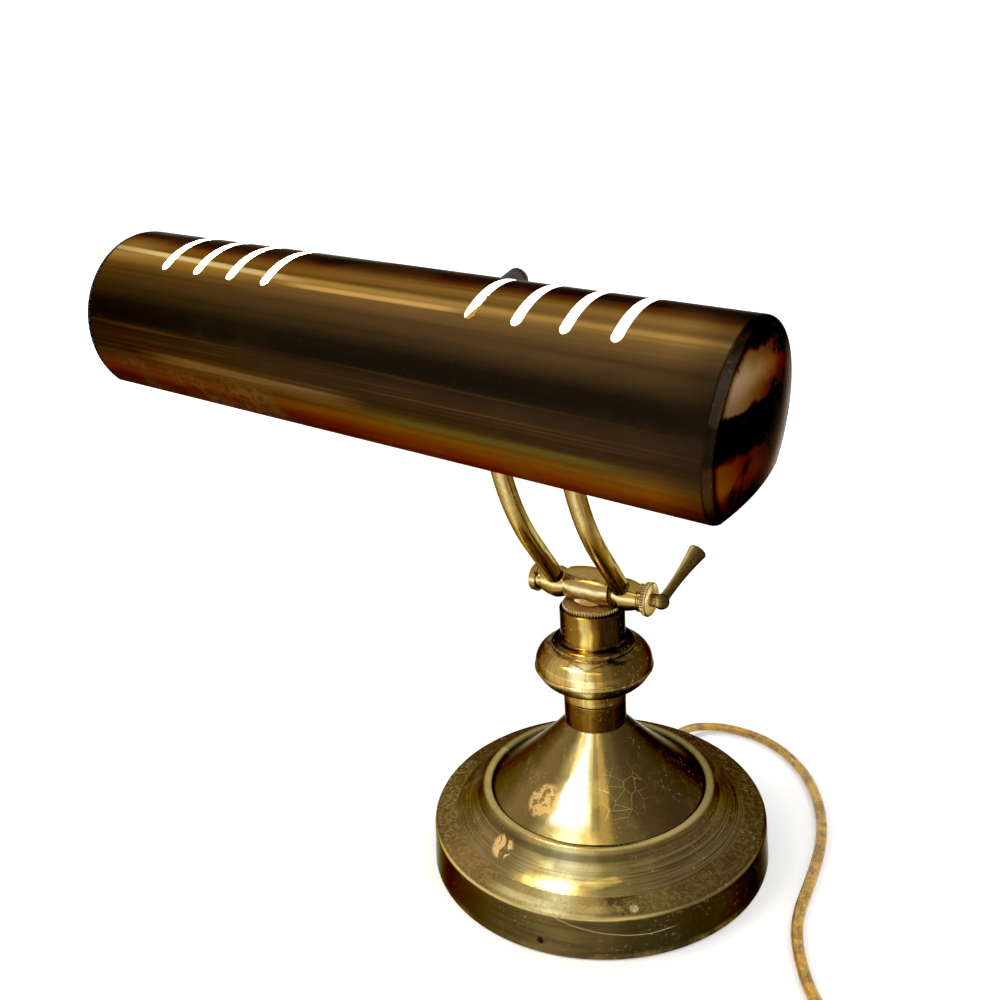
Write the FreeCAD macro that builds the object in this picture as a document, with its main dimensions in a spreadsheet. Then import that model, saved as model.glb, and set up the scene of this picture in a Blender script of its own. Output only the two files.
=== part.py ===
"""Piano lamp: weighted round base, turned neck, locking knuckle, two swan-neck arms and a tubular shade.

Frame: millimetres, +Z up, origin at the centre of the felt under the base. +X runs along the shade and
the knuckle's pivot, towards the clamp lever. -Y is the front, the side on which the shade reaches out.
"""
import FreeCAD, Part
import Sketcher
import math
import os
import re

V = FreeCAD.Vector
X_AXIS = V(1, 0, 0)
Y_AXIS = V(0, 1, 0)
Z_AXIS = V(0, 0, 1)

doc = FreeCAD.newDocument("PianoLamp")
sheet = doc.addObject("Spreadsheet::Sheet", "Dims")

# ---------------------------------------------------------------- driving dimensions (mm and degrees)
DIMENSIONS = [
    # base
    ("base_radius", 87.0), ("wall_lean", 1.2), ("rim_inset", 2.6), ("rim_height", 22.8),
    ("rim_drop", 3.8), ("rim_round", 5.0), ("step_width", 10.0), ("step_rise", 1.6),
    ("cove_round", 34.0), ("bead_inset", 17.3), ("bead_half_width", 2.8), ("bead_rise", 13.9),
    ("bead_round", 3.0), ("cone_sweep", 240.0), ("cone_rise", 50.9), ("shell_wall", 1.5),
    ("shell_crown", 2.2), ("shell_foot", 0.5), ("weight_thickness", 9.5), ("weight_gap", 3.9),
    ("pocket_radius", 16.0), ("pocket_cover", 3.5), ("felt_thickness", 2.4), ("felt_inset", 0.6),
    ("cover_thickness", 1.2), ("cover_ledge", 0.8),
    # rod through the stack
    ("rod_radius", 5.0), ("rod_bore", 3.2), ("rod_tail", 0.4), ("rod_engagement", 3.2), ("rod_chamfer", 0.4),
    ("rod_gap", 0.06), ("washer_radius", 13.0), ("washer_thickness", 1.6), ("nut_across_flats", 17.0),
    ("nut_thickness", 4.4),
    # neck stack
    ("neck_radius", 15.6), ("neck_wall", 1.2), ("sleeve_height", 13.7), ("collar_radius", 15.9),
    ("collar_height", 6.7), ("groove_radius", 15.0), ("groove_height", 1.1), ("ball_radius", 28.9),
    ("ball_foot_radius", 17.0), ("ball_lower_height", 10.6), ("ball_lower_round", 12.4),
    ("seam_proud", 0.5), ("seam_height", 1.5), ("ball_upper_height", 10.8), ("ball_upper_round", 9.4),
    ("ball_crown_radius", 20.6), ("ball_wall", 1.2), ("cap_flange", 20.9), ("cap_flange_edge", 0.8),
    ("cap_bead", 17.9), ("cap_bead_height", 2.4), ("cap_bead_round", 3.2), ("cap_cove", 1.6),
    ("cap_cove_height", 1.4), ("cap_radius", 16.1), ("cap_height", 19.8), ("cap_edge", 0.8),
    ("cap_roof", 2.2),
    # knurled lock ring under the knuckle
    ("ring_radius", 14.5), ("ring_height", 2.3), ("ring_chamfer", 0.7), ("ring_teeth", 60),
    ("tooth_depth", 0.45), ("face_gap", 0.12),
    # knuckle
    ("pivot_rise", 6.7), ("barrel_lift", 1.0), ("barrel_half", 12.0), ("barrel_radius", 9.3),
    ("barrel_end_radius", 7.6), ("barrel_lip", 0.4), ("barrel_lip_width", 1.2), ("foot_radius", 8.6),
    ("foot_flare", 9.2), ("foot_flare_height", 1.6), ("foot_waist", 8.0), ("bolt_radius", 2.6),
    ("bolt_gap", 0.05), ("friction_radius", 6.0), ("friction_thickness", 0.7), ("knuckle_length", 13.0),
    ("knuckle_inner_radius", 6.2), ("knuckle_radius", 7.9), ("knuckle_outer_radius", 5.9),
    ("knuckle_belly", 5.1), ("end_cap_length", 7.6), ("end_cap_neck", 5.0), ("end_cap_radius", 7.0),
    ("end_cap_dome", 1.4), ("bolt_cover", 1.2), ("groove_ring_length", 2.9), ("groove_ring_radius", 6.9),
    ("ring_groove_depth", 0.6),
    # clamp nut and lever
    ("clamp_length", 4.3), ("clamp_radius", 8.4), ("clamp_knurl", 2.5), ("clamp_nose_radius", 4.6),
    ("clamp_teeth", 44), ("hub_neck_radius", 3.2), ("hub_neck_length", 1.0), ("hub_radius", 3.8),
    ("lever_length", 32.4), ("lever_root_radius", 2.3), ("lever_end_radius", 4.5), ("lever_tip", 1.3),
    ("lever_tip_flat", 0.8), ("lever_rise", 32.0), ("lever_splay", 12.0),
    # arms
    ("arm_radius", 4.5), ("arm_bore", 3.5), ("arm_start", 3.4), ("arm_lean", 38.6), ("arm_run", 37.5),
    ("arm_low_bend", 131.0), ("arm_riser", 1.7), ("arm_high_bend", 26.0), ("arm_inside", 10.4),
    ("lead_radius", 1.4),
    # shade
    ("shade_radius", 31.75), ("shade_wall", 0.8), ("shade_length", 250.0), ("shade_forward", 129.5),
    ("shade_tip", 5.3),
    ("mouth_front", 228.0), ("mouth_rear", 326.0), ("slot_width", 3.7), ("slot_pitch", 16.5),
    ("slot_first", 42.5), ("slot_reach", 21.5), ("slots_per_side", 4), ("cap_rim_round", 2.4),
    ("cap_skirt", 6.0), ("cap_dome", 3.0), ("cap_sheet", 0.8), ("screw_radius", 1.5), ("screw_length", 2.6),
    # what holds the shade to the arms
    ("ferrule_radius", 6.6), ("ferrule_length", 5.0), ("ferrule_nose", 5.4), ("arm_nut_radius", 7.4),
    ("arm_nut_length", 3.6), ("bracket_sheet", 1.5), ("bracket_width", 18.0), ("bracket_left", 27.0),
    # socket and bulb along the shade's axis
    ("socket_radius", 14.2), ("socket_sheet", 0.5), ("socket_mouth", -8.0), ("socket_length", 38.0),
    ("socket_cap_length", 13.0), ("socket_cap_nose", 7.5), ("nipple_radius", 4.9), ("nipple_bore", 3.4),
    ("nipple_length", 10.0), ("nipple_grip", 4.0), ("nipple_nut_radius", 8.0), ("nipple_nut_length", 2.6),
    ("insert_length", 26.5), ("insert_bore", 12.95), ("insert_lip", 3.0), ("bulb_seat", 2.0),
    ("bulb_base_radius", 12.9), ("bulb_thread_depth", 0.9), ("bulb_thread_pitch", 3.6),
    ("bulb_base_length", 23.0), ("bulb_contact", 4.5), ("bulb_radius", 15.0), ("bulb_length", 112.0),
    ("bulb_neck", 11.6), ("bulb_shoulder", 13.0), ("bulb_wall", 0.7), ("filament_radius", 0.5),
    ("filament_spread", 2.6), ("filament_reach", 78.0), ("bulb_stem_radius", 4.2),
    ("bulb_stem_length", 18.0),
    # switch
    ("switch_place", 21.0), ("switch_angle", 18.0), ("switch_offset", 10.0), ("switch_stem_radius", 1.7),
    ("switch_hole", 2.6),
    ("key_depth", 5.0), ("key_gap", 0.1), ("switch_knob_radius", 4.6), ("switch_tip_radius", 4.2),
    ("switch_knob_length", 16.5), ("switch_knob_gap", 0.6), ("switch_grip", 4.0), ("switch_ribs", 18),
    ("switch_rib_depth", 0.4),
    # cord
    ("cord_radius", 2.8), ("cord_exit_height", 9.0), ("bushing_inner", 5.0), ("bushing_depth", 6.0),
    ("bushing_flange", 6.4), ("bushing_flange_thick", 1.6), ("bushing_root", 5.2), ("bushing_tip", 4.4),
    ("bushing_length", 8.0), ("bushing_gap", 0.2), ("lead_bend", 5.0), ("coil_inner", 20.0),
    ("coil_outer", 43.0), ("coil_height", 8.8), ("coil_round", 3.0), ("coil_x", 196.0), ("coil_y", -112.0),
    ("plug_length", 26.0), ("plug_width", 23.0), ("plug_height", 11.0), ("plug_waist", 9.0),
    ("plug_shoulder", 1.5), ("blade_length", 17.0), ("blade_width", 6.4), ("blade_thickness", 1.5),
    ("blade_spacing", 12.7),
]

# ---------------------------------------------------------------- places that follow from the dimensions
DERIVED = {
    "rim_radius": "base_radius - rim_inset",
    "step_radius": "rim_radius - step_width",
    "bead_radius": "step_radius - bead_inset",
    "cover_top": "felt_thickness + cover_thickness",
    "cone_top": "rim_height + cone_rise",
    "bead_foot": "rim_height + bead_rise",
    "weight_top": "rim_height - shell_wall",
    "weight_foot": "weight_top - weight_thickness",
    "pocket_roof": "weight_top - pocket_cover",
    "rod_foot": "pocket_roof - washer_thickness - nut_thickness - rod_tail",
    "collar_foot": "cone_top + sleeve_height",
    "ball_foot": "collar_foot + collar_height",
    "ball_bowl": "ball_foot + groove_height",
    "ball_seam": "ball_bowl + ball_lower_height",
    "cap_foot": "ball_seam + ball_upper_height",
    "cap_top": "cap_foot + cap_height",
    "ring_foot": "cap_top + face_gap",
    "ring_top": "ring_foot + ring_height",
    "barrel_foot": "ring_top + face_gap",
    "rod_top": "barrel_foot + rod_engagement",
    "pivot_height": "barrel_foot + pivot_rise",
    "knuckle_inner": "barrel_half + face_gap + friction_thickness",
    "knuckle_outer": "knuckle_inner + knuckle_length",
    "arm_spacing": "knuckle_inner + knuckle_belly",
    "clamp_inner": "knuckle_outer + groove_ring_length + face_gap",
    "clamp_outer": "clamp_inner + clamp_length",
    "hub_centre": "clamp_outer + hub_neck_length + hub_radius * 0.75",
    "bolt_left": "knuckle_outer + end_cap_length - bolt_cover - end_cap_dome",
    "arm_over": "arm_run * sin(arm_lean) + arm_low_bend * (1 - cos(arm_lean)) + arm_high_bend",
    "arm_reach": "shade_forward - shade_radius + arm_inside - arm_over",
    "shade_y": "-shade_forward",
    "knee_height": "arm_run * cos(arm_lean) + arm_low_bend * sin(arm_lean)",
    "shade_z": "pivot_height + knee_height + arm_riser + arm_high_bend",
    "arm_across": "arm_spacing * cos(shade_tip)",
    "arm_drop": "arm_spacing * sin(shade_tip)",
    "shade_inner": "shade_radius - shade_wall",
    "mouth_middle": "(mouth_front + mouth_rear) / 2",
    "mouth_depth": "shade_radius * cos((mouth_rear - mouth_front) / 2)",
    "bracket_back": "sqrt(shade_inner ^ 2 - (bracket_width / 2) ^ 2)",
    "socket_end": "socket_mouth + socket_length",
    "socket_back": "socket_end + socket_cap_length",
    "bulb_foot": "socket_mouth + bulb_seat",
    "key_floor": "sqrt(socket_radius ^ 2 - switch_offset ^ 2) - key_depth",
    "knob_foot": "sqrt((shade_radius + switch_knob_gap) ^ 2 - (switch_offset - switch_knob_radius) ^ 2)",
    "lead_top": "rod_top - cord_exit_height - rod_chamfer",
}

for row, (alias, value) in enumerate(DIMENSIONS, start=1):
    sheet.set(f"A{row}", alias)
    sheet.set(f"B{row}", str(value))
    sheet.setAlias(f"B{row}", alias)
doc.recompute()

FUNCTIONS = {"sin", "cos", "tan", "sqrt"}


def formula(text):
    """The expression with derived names written out and each dimension's name pointing at its cell."""
    def point(match):
        word = match.group(0)
        if word in FUNCTIONS:
            return word
        if word in DERIVED:
            return "(" + formula(DERIVED[word]) + ")"
        return "Dims." + word
    return re.sub(r"[A-Za-z_][A-Za-z_0-9]*", point, str(text))


def size(text):
    """The present value of a formula of dimensions."""
    return float(sheet.evalExpression(formula(text)))


exported = []


def keep(item, label):
    """Names a finished sub-part and puts it on the list that is written out."""
    item.Label = label
    exported.append(item)
    return item


def bind(item, **properties):
    """Ties properties of an item to formulas."""
    for name, text in properties.items():
        item.setExpression(name, formula(text))
    return item


# ---------------------------------------------------------------- sketches and solids
def origin_plane(body, role):
    for feature in body.Origin.OriginFeatures:
        if feature.Role == role:
            return feature
    raise ValueError(role)


def arc_between(start, end, radius, side):
    """The minor arc from start to end, bulging to that side of the walk from one to the other."""
    chord = end - start
    half = chord.Length / 2
    rise = math.sqrt(max(radius * radius - half * half, 0.0))
    left = V(-chord.y, chord.x, 0).normalize()
    sign = -1.0 if side == "left" else 1.0
    centre = (start + end) * 0.5 + left * (sign * rise)
    circle = Part.Circle(centre, Z_AXIS, radius)
    first, second = (end, start) if side == "left" else (start, end)
    first_turn = math.atan2(first.y - centre.y, first.x - centre.x)
    second_turn = math.atan2(second.y - centre.y, second.x - centre.x)
    return Part.ArcOfCircle(circle, first_turn, second_turn)


def tie(sketch, constraint, text):
    """Adds a dimension to a sketch and ties it to its formula."""
    index = sketch.addConstraint(constraint)
    name = f"d{index}"
    sketch.renameConstraint(index, name)
    sketch.setExpression(f"Constraints.{name}", formula(text))


def draw(sketch, points, closed=True):
    """Draws one outline into a sketch. A point is (across, up); (across, up, radius, side) starts an arc.

    Every corner and radius is tied to its formula. "left" bulges to the left of the walk.
    """
    first_edge = sketch.GeometryCount
    corners = [V(size(point[0]), size(point[1]), 0) for point in points]
    count = len(points) if closed else len(points) - 1
    starts = []
    for number in range(count):
        point = points[number]
        start, end = corners[number], corners[(number + 1) % len(points)]
        if len(point) == 4:
            sketch.addGeometry(arc_between(start, end, size(point[2]), point[3]))
            starts.append(2 if point[3] == "left" else 1)
        else:
            sketch.addGeometry(Part.LineSegment(start, end))
            starts.append(1)
    for number in range(count if closed else count - 1):
        after = (number + 1) % count
        sketch.addConstraint(Sketcher.Constraint("Coincident", first_edge + number, 3 - starts[number],
                                                 first_edge + after, starts[after]))
    for number, point in enumerate(points):
        edge = min(number, count - 1)
        end_of_edge = starts[edge] if number < count else 3 - starts[edge]
        for kind, text, value in (("DistanceX", point[0], corners[number].x),
                                  ("DistanceY", point[1], corners[number].y)):
            tie(sketch, Sketcher.Constraint(kind, first_edge + edge, end_of_edge, value), text)
        if len(point) == 4:
            tie(sketch, Sketcher.Constraint("Radius", first_edge + number, size(point[2])), point[2])
    return sketch


def sketch_on(body, role, name):
    sketch = body.newObject("Sketcher::SketchObject", name)
    sketch.AttachmentSupport = [(origin_plane(body, role), "")]
    sketch.MapMode = "FlatFace"
    return sketch


def circle_in(sketch, radius):
    """Draws a circle about the sketch's origin, tied to its radius."""
    index = sketch.addGeometry(Part.Circle(V(), Z_AXIS, size(radius)))
    tie(sketch, Sketcher.Constraint("Radius", index, size(radius)), radius)
    sketch.addConstraint(Sketcher.Constraint("Coincident", index, 3, -1, 1))


def turned(name, points):
    """A body turned about its own Z axis from an outline of (radius, height) points."""
    body = doc.addObject("PartDesign::Body", name)
    sketch = draw(sketch_on(body, "XZ_Plane", name + "_outline"), points)
    feature = body.newObject("PartDesign::Revolution", name + "_turn")
    feature.Profile = sketch
    feature.ReferenceAxis = (sketch, ["V_Axis"])
    feature.Angle = 360
    return body


def padded(name, role, outlines, length, radii=(), symmetric=False):
    """A body pushed out from outlines and circles about the origin on one of its origin planes."""
    body = doc.addObject("PartDesign::Body", name)
    sketch = sketch_on(body, role, name + "_outline")
    for points in outlines:
        draw(sketch, points)
    for radius in radii:
        circle_in(sketch, radius)
    feature = body.newObject("PartDesign::Pad", name + "_pad")
    feature.Profile = sketch
    bind(feature, Length=length)
    feature.Midplane = symmetric
    return body


def disc(name, thickness, *radii):
    """A flat disc, or a ring where a second, inner radius is given."""
    return padded(name, "XY_Plane", [], thickness, radii=radii)


def piped(name, path, radii, start):
    """A body swept along a path in its own YZ plane from a section of circles at height start."""
    body = doc.addObject("PartDesign::Body", name)
    spine = draw(sketch_on(body, "YZ_Plane", name + "_path"), path, closed=False)
    section = sketch_on(body, "XY_Plane", name + "_section")
    section.AttachmentOffset = FreeCAD.Placement(V(0, 0, size(start)), FreeCAD.Rotation())
    section.setExpression("AttachmentOffset.Base.z", formula(start))
    for radius in radii:
        circle_in(section, radius)
    doc.recompute()
    feature = body.newObject("PartDesign::AdditivePipe", name + "_pipe")
    feature.Profile = section
    feature.Spine = (spine, [f"Edge{number + 1}" for number in range(len(path) - 1)])
    return body


def place(item, base=("0", "0", "0"), rotation=None, angle=None):
    """Puts an item at a point given by formulas; an angle formula drives the turn about X."""
    if angle is not None:
        rotation = FreeCAD.Rotation(X_AXIS, size(angle))
    item.Placement = FreeCAD.Placement(V(*[size(text) for text in base]), rotation or FreeCAD.Rotation())
    for axis, text in zip("xyz", base):
        item.setExpression(f"Placement.Base.{axis}", formula(text))
    if angle is not None:
        item.setExpression("Placement.Rotation.Angle", formula(angle))
    return item


def cylinder(name, radius, height, base=("0", "0", "0"), rotation=None, angle=None):
    """A plain cylinder whose foot is at base; its own axis is Z before it is turned."""
    item = doc.addObject("Part::Cylinder", name)
    bind(item, Radius=radius, Height=height)
    return place(item, base, rotation, angle)


def block(name, sizes, corner, angle="0"):
    """A plain block from its corner, turned about X."""
    item = doc.addObject("Part::Box", name)
    bind(item, Length=sizes[0], Width=sizes[1], Height=sizes[2])
    return place(item, corner, angle=angle)


def fused(name, *items):
    item = doc.addObject("Part::MultiFuse", name)
    item.Shapes = list(items)
    return item


def cut(name, base, *tools):
    item = doc.addObject("Part::Cut", name)
    item.Base = base
    item.Tool = tools[0] if len(tools) == 1 else fused(name + "_tools", *tools)
    return item


def grouped(name, *items):
    """Separate identical solids that share one node."""
    item = doc.addObject("Part::Compound", name)
    item.Links = list(items)
    return item


def knurled(name, blank, radius, depth, teeth, height, lean=0.0):
    """Cuts flutes round a turned blank, spaced evenly on its own Z axis; lean tips them along a cone."""
    flutes = []
    count = int(size(teeth))
    middle = f"({radius} + {depth} * 0.6)"
    for number in range(count):
        turn = 360.0 * number / count
        rotation = FreeCAD.Rotation(Z_AXIS, turn) * FreeCAD.Rotation(Y_AXIS, -lean)
        foot = (f"{middle} * cos({turn})", f"{middle} * sin({turn})", "-1")
        flutes.append(cylinder(f"{name}_flute_{number}", f"{depth} * 1.6", f"{height} + 1", foot, rotation))
    return cut(name, blank, *flutes)


def dome_radius(across, rise):
    """The radius of a ball that rises this far over a circle of this radius."""
    return f"((({across}) ^ 2 + ({rise}) ^ 2) / (2 * ({rise})))"


ALONG_X = FreeCAD.Rotation(Y_AXIS, 90)
ALONG_MINUS_X = FreeCAD.Rotation(Y_AXIS, -90)
ALONG_Y = FreeCAD.Rotation(X_AXIS, -90)
SIDES = ((-1, "left"), (1, "right"))


# ---------------------------------------------------------------- base
def make_base_shell():
    shell = turned("shell_blank", [
        ("base_radius", "shell_foot"),
        ("base_radius - wall_lean", "rim_height - rim_drop", "rim_round", "right"),
        ("rim_radius", "rim_height"),
        ("step_radius", "rim_height + step_rise", "cove_round", "left"),
        ("bead_radius + bead_half_width", "bead_foot", "bead_round", "right"),
        ("bead_radius - bead_half_width", "bead_foot + 0.5", "cone_sweep", "left"),
        ("neck_radius", "cone_top"),
        ("rod_radius", "cone_top"),
        ("rod_radius", "cone_top - shell_crown"),
        ("neck_radius - shell_wall", "cone_top - shell_crown", "cone_sweep", "right"),
        ("bead_radius - bead_half_width - shell_wall * 0.7", "bead_foot + 0.5 - shell_wall"),
        ("bead_radius + bead_half_width - shell_wall", "bead_foot - shell_wall", "cove_round", "right"),
        ("step_radius - shell_wall", "weight_top"),
        ("rim_radius - shell_wall * 0.6", "weight_top"),
        ("base_radius - wall_lean - shell_wall", "rim_height - rim_drop - shell_wall"),
        ("base_radius - shell_wall - cover_ledge", "cover_top"),
        ("base_radius - shell_wall", "cover_top"),
        ("base_radius - shell_wall", "shell_foot"),
    ])
    hole = cylinder("shell_cord_hole", "bushing_inner", "bushing_depth + 4",
                    ("0", "base_radius - bushing_depth - 2", "cord_exit_height"), ALONG_Y)
    keep(cut("shell_cut", shell, hole), "base_shell")


def make_base_filling():
    weight = turned("weight_turn", [
        ("rod_radius", "weight_top"), ("rod_radius", "pocket_roof"), ("pocket_radius", "pocket_roof"),
        ("pocket_radius", "weight_foot"), ("rim_radius - weight_gap", "weight_foot"),
        ("rim_radius - weight_gap", "weight_top"),
    ])
    keep(weight, "base_weight")
    cover = disc("cover_disc", "cover_thickness", "base_radius - shell_wall")
    keep(place(cover, ("0", "0", "felt_thickness")), "base_cover")
    keep(disc("felt_disc", "felt_thickness", "base_radius - shell_wall - felt_inset"), "felt_pad")


def make_rod():
    rod = turned("rod_turn", [
        ("rod_bore", "rod_foot"), ("rod_radius", "rod_foot"), ("rod_radius", "rod_top - rod_chamfer"),
        ("rod_radius - rod_chamfer", "rod_top"), ("rod_bore", "rod_top"),
    ])
    keep(rod, "tie_rod")
    washer = disc("washer_disc", "washer_thickness", "washer_radius", "rod_radius")
    keep(place(washer, ("0", "0", "pocket_roof - washer_thickness")), "rod_washer")
    corner = "nut_across_flats / 2 / cos(30)"
    hexagon = [(f"{corner} * cos({60 * side})", f"{corner} * sin({60 * side})") for side in range(6)]
    nut = padded("nut_hexagon", "XY_Plane", [hexagon], "nut_thickness", radii=("rod_radius",))
    keep(place(nut, ("0", "0", "pocket_roof - washer_thickness - nut_thickness")), "rod_nut")


# ---------------------------------------------------------------- turned neck
def make_neck_foot():
    sleeve = turned("sleeve_turn", [
        ("neck_radius - neck_wall", "cone_top"), ("neck_radius", "cone_top"),
        ("neck_radius", "collar_foot - 0.3"), ("neck_radius - 0.3", "collar_foot"),
        ("neck_radius - neck_wall", "collar_foot"),
    ])
    keep(sleeve, "neck_sleeve")
    collar = turned("collar_turn", [
        ("rod_radius", "collar_foot"), ("collar_radius - 0.6", "collar_foot"),
        ("collar_radius", "collar_foot + 0.6"), ("collar_radius", "ball_foot - 0.8"),
        ("collar_radius - 0.8", "ball_foot"), ("rod_radius", "ball_foot"),
    ])
    keep(collar, "neck_collar")


def make_ball():
    bowl = turned("bowl_turn", [
        ("rod_radius", "ball_foot"), ("groove_radius", "ball_foot"), ("groove_radius", "ball_bowl"),
        ("ball_foot_radius", "ball_bowl", "ball_lower_round", "right"),
        ("ball_radius", "ball_seam - seam_height"),
        ("ball_radius + seam_proud", "ball_seam - seam_height", "seam_height * 0.7", "right"),
        ("ball_radius + seam_proud * 0.4", "ball_seam"),
        ("ball_radius - ball_wall", "ball_seam", "ball_lower_round", "left"),
        ("ball_foot_radius - ball_wall * 0.4", "ball_bowl + ball_wall"),
        ("rod_radius", "ball_bowl + ball_wall"),
    ])
    keep(bowl, "ball_lower")
    dome = turned("dome_turn", [
        ("ball_radius - ball_wall", "ball_seam"), ("ball_radius", "ball_seam", "ball_upper_round", "right"),
        ("ball_crown_radius", "cap_foot"), ("rod_radius", "cap_foot"),
        ("rod_radius", "cap_foot - ball_wall"),
        ("ball_crown_radius - 0.3", "cap_foot - ball_wall", "ball_upper_round", "left"),
    ])
    keep(dome, "ball_upper")


def make_cap_collar():
    bead_top = "cap_foot + cap_flange_edge + cap_bead_height"
    cap = turned("cap_turn", [
        ("cap_radius - neck_wall", "cap_foot"), ("cap_flange", "cap_foot"),
        ("cap_flange", "cap_foot + cap_flange_edge", "cap_bead_round", "right"),
        ("cap_bead", bead_top, "cap_cove", "left"), ("cap_radius", f"{bead_top} + cap_cove_height"),
        ("cap_radius", "cap_top - cap_edge", "cap_edge", "right"), ("cap_radius - cap_edge", "cap_top"),
        ("rod_radius", "cap_top"), ("rod_radius", "cap_top - cap_roof"),
        ("cap_radius - neck_wall", "cap_top - cap_roof"),
    ])
    keep(cap, "cap_collar")


def make_lock_ring():
    blank = turned("ring_turn", [
        ("rod_radius + rod_gap", "0"), ("ring_radius", "0"), ("ring_radius", "ring_height - ring_chamfer"),
        ("ring_radius - ring_chamfer", "ring_height"), ("rod_radius + rod_gap", "ring_height"),
    ])
    ring = knurled("ring_knurl", blank, "ring_radius", "tooth_depth", "ring_teeth", "ring_height + 1")
    keep(place(ring, ("0", "0", "ring_foot")), "lock_ring")


# ---------------------------------------------------------------- knuckle
def make_barrel():
    lip = "barrel_end_radius + barrel_lip"
    lip_at = "barrel_half - barrel_lip_width"
    barrel = turned("barrel_turn", [
        ("0", "-barrel_half"), ("barrel_end_radius", "-barrel_half"),
        (lip, f"-({lip_at})", dome_radius(lip_at, f"barrel_radius - ({lip})"), "right"), (lip, lip_at),
        ("barrel_end_radius", "barrel_half"), ("0", "barrel_half"),
    ])
    place(barrel, ("0", "0", "pivot_height + barrel_lift"), ALONG_X)
    foot = turned("foot_turn", [
        ("0", "barrel_foot"), ("foot_radius", "barrel_foot", "foot_flare_height * 1.4", "right"),
        ("foot_flare", "barrel_foot + foot_flare_height"), ("foot_waist", "pivot_height - 1"),
        ("0", "pivot_height - 1"),
    ])
    bore = cylinder("barrel_bore", "bolt_radius + bolt_gap", "2 * barrel_half + 4",
                    ("-barrel_half - 2", "0", "pivot_height"), ALONG_X)
    seat = cylinder("barrel_seat", "rod_radius + rod_gap", "rod_engagement + 2 + 2 * rod_gap",
                    ("0", "0", "barrel_foot - 2"))
    under = disc("barrel_under", "barrel_radius", "2 * barrel_half")
    place(under, ("0", "0", "barrel_foot - barrel_radius"))
    flat = cut("barrel_flat", fused("barrel_solid", barrel, foot), under)
    keep(cut("barrel_cut", flat, bore, seat), "pivot_barrel")


def make_knuckles():
    washers = []
    for side, word in SIDES:
        foot = "barrel_half + face_gap" if side > 0 else "-knuckle_inner"
        washer = disc(f"friction_{word}", "friction_thickness", "friction_radius", "bolt_radius")
        washers.append(place(washer, (foot, "0", "pivot_height"), ALONG_X))
        blank = turned(f"knuckle_{word}_blank", [
            ("bolt_radius", "0"), ("knuckle_inner_radius", "0", "18", "right"),
            ("knuckle_radius", "knuckle_belly", "24", "right"),
            ("knuckle_outer_radius", "knuckle_length"), ("bolt_radius", "knuckle_length"),
        ])
        outward = ALONG_X if side > 0 else ALONG_MINUS_X
        place(blank, (f"{side} * knuckle_inner", "0", "pivot_height"), outward)
        hole = cylinder(f"knuckle_{word}_hole", "arm_radius", "2 * knuckle_radius",
                        (f"{side} * arm_spacing", "-arm_start * sin(arm_lean)",
                         "pivot_height + arm_start * cos(arm_lean)"), angle="arm_lean")
        keep(cut(f"knuckle_{word}_cut", blank, hole), f"knuckle_{word}")
    keep(grouped("friction_pair", *washers), "friction_washers")


def make_bolt():
    bolt = turned("bolt_turn", [
        ("0", "-bolt_left"), ("bolt_radius", "-bolt_left"), ("bolt_radius", "clamp_outer - 0.8"),
        ("bolt_radius - 0.6", "clamp_outer - 0.2"), ("0", "clamp_outer - 0.2"),
    ])
    keep(place(bolt, ("0", "0", "pivot_height"), ALONG_X), "pivot_bolt")

    edge = "end_cap_length - end_cap_dome"
    cap = turned("end_cap_turn", [
        ("bolt_radius", "0"), ("end_cap_neck", "0"), ("end_cap_neck", "1.4", "1.6", "left"),
        ("end_cap_radius - 0.4", "2.8"), ("end_cap_radius", "3.4"),
        ("end_cap_radius - 0.3", edge, dome_radius("end_cap_radius - 0.3", "end_cap_dome"), "right"),
        ("0", "end_cap_length"), ("0", f"{edge} - bolt_cover"), ("bolt_radius", f"{edge} - bolt_cover"),
    ])
    keep(place(cap, ("-knuckle_outer", "0", "pivot_height"), ALONG_MINUS_X), "pivot_end_cap")

    outline = [("bolt_radius", "0")]
    for land in range(3):
        start = f"groove_ring_length * {land} / 3"
        outline.append(("groove_ring_radius - ring_groove_depth", f"{start} + 0.1"))
        outline.append(("groove_ring_radius", f"{start} + 0.4"))
        outline.append(("groove_ring_radius", f"{start} + groove_ring_length / 3 - 0.2"))
    outline.append(("groove_ring_radius - 0.3", "groove_ring_length"))
    outline.append(("bolt_radius", "groove_ring_length"))
    ring = turned("groove_ring_turn", outline)
    keep(place(ring, ("knuckle_outer", "0", "pivot_height"), ALONG_X), "grooved_ring")


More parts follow.
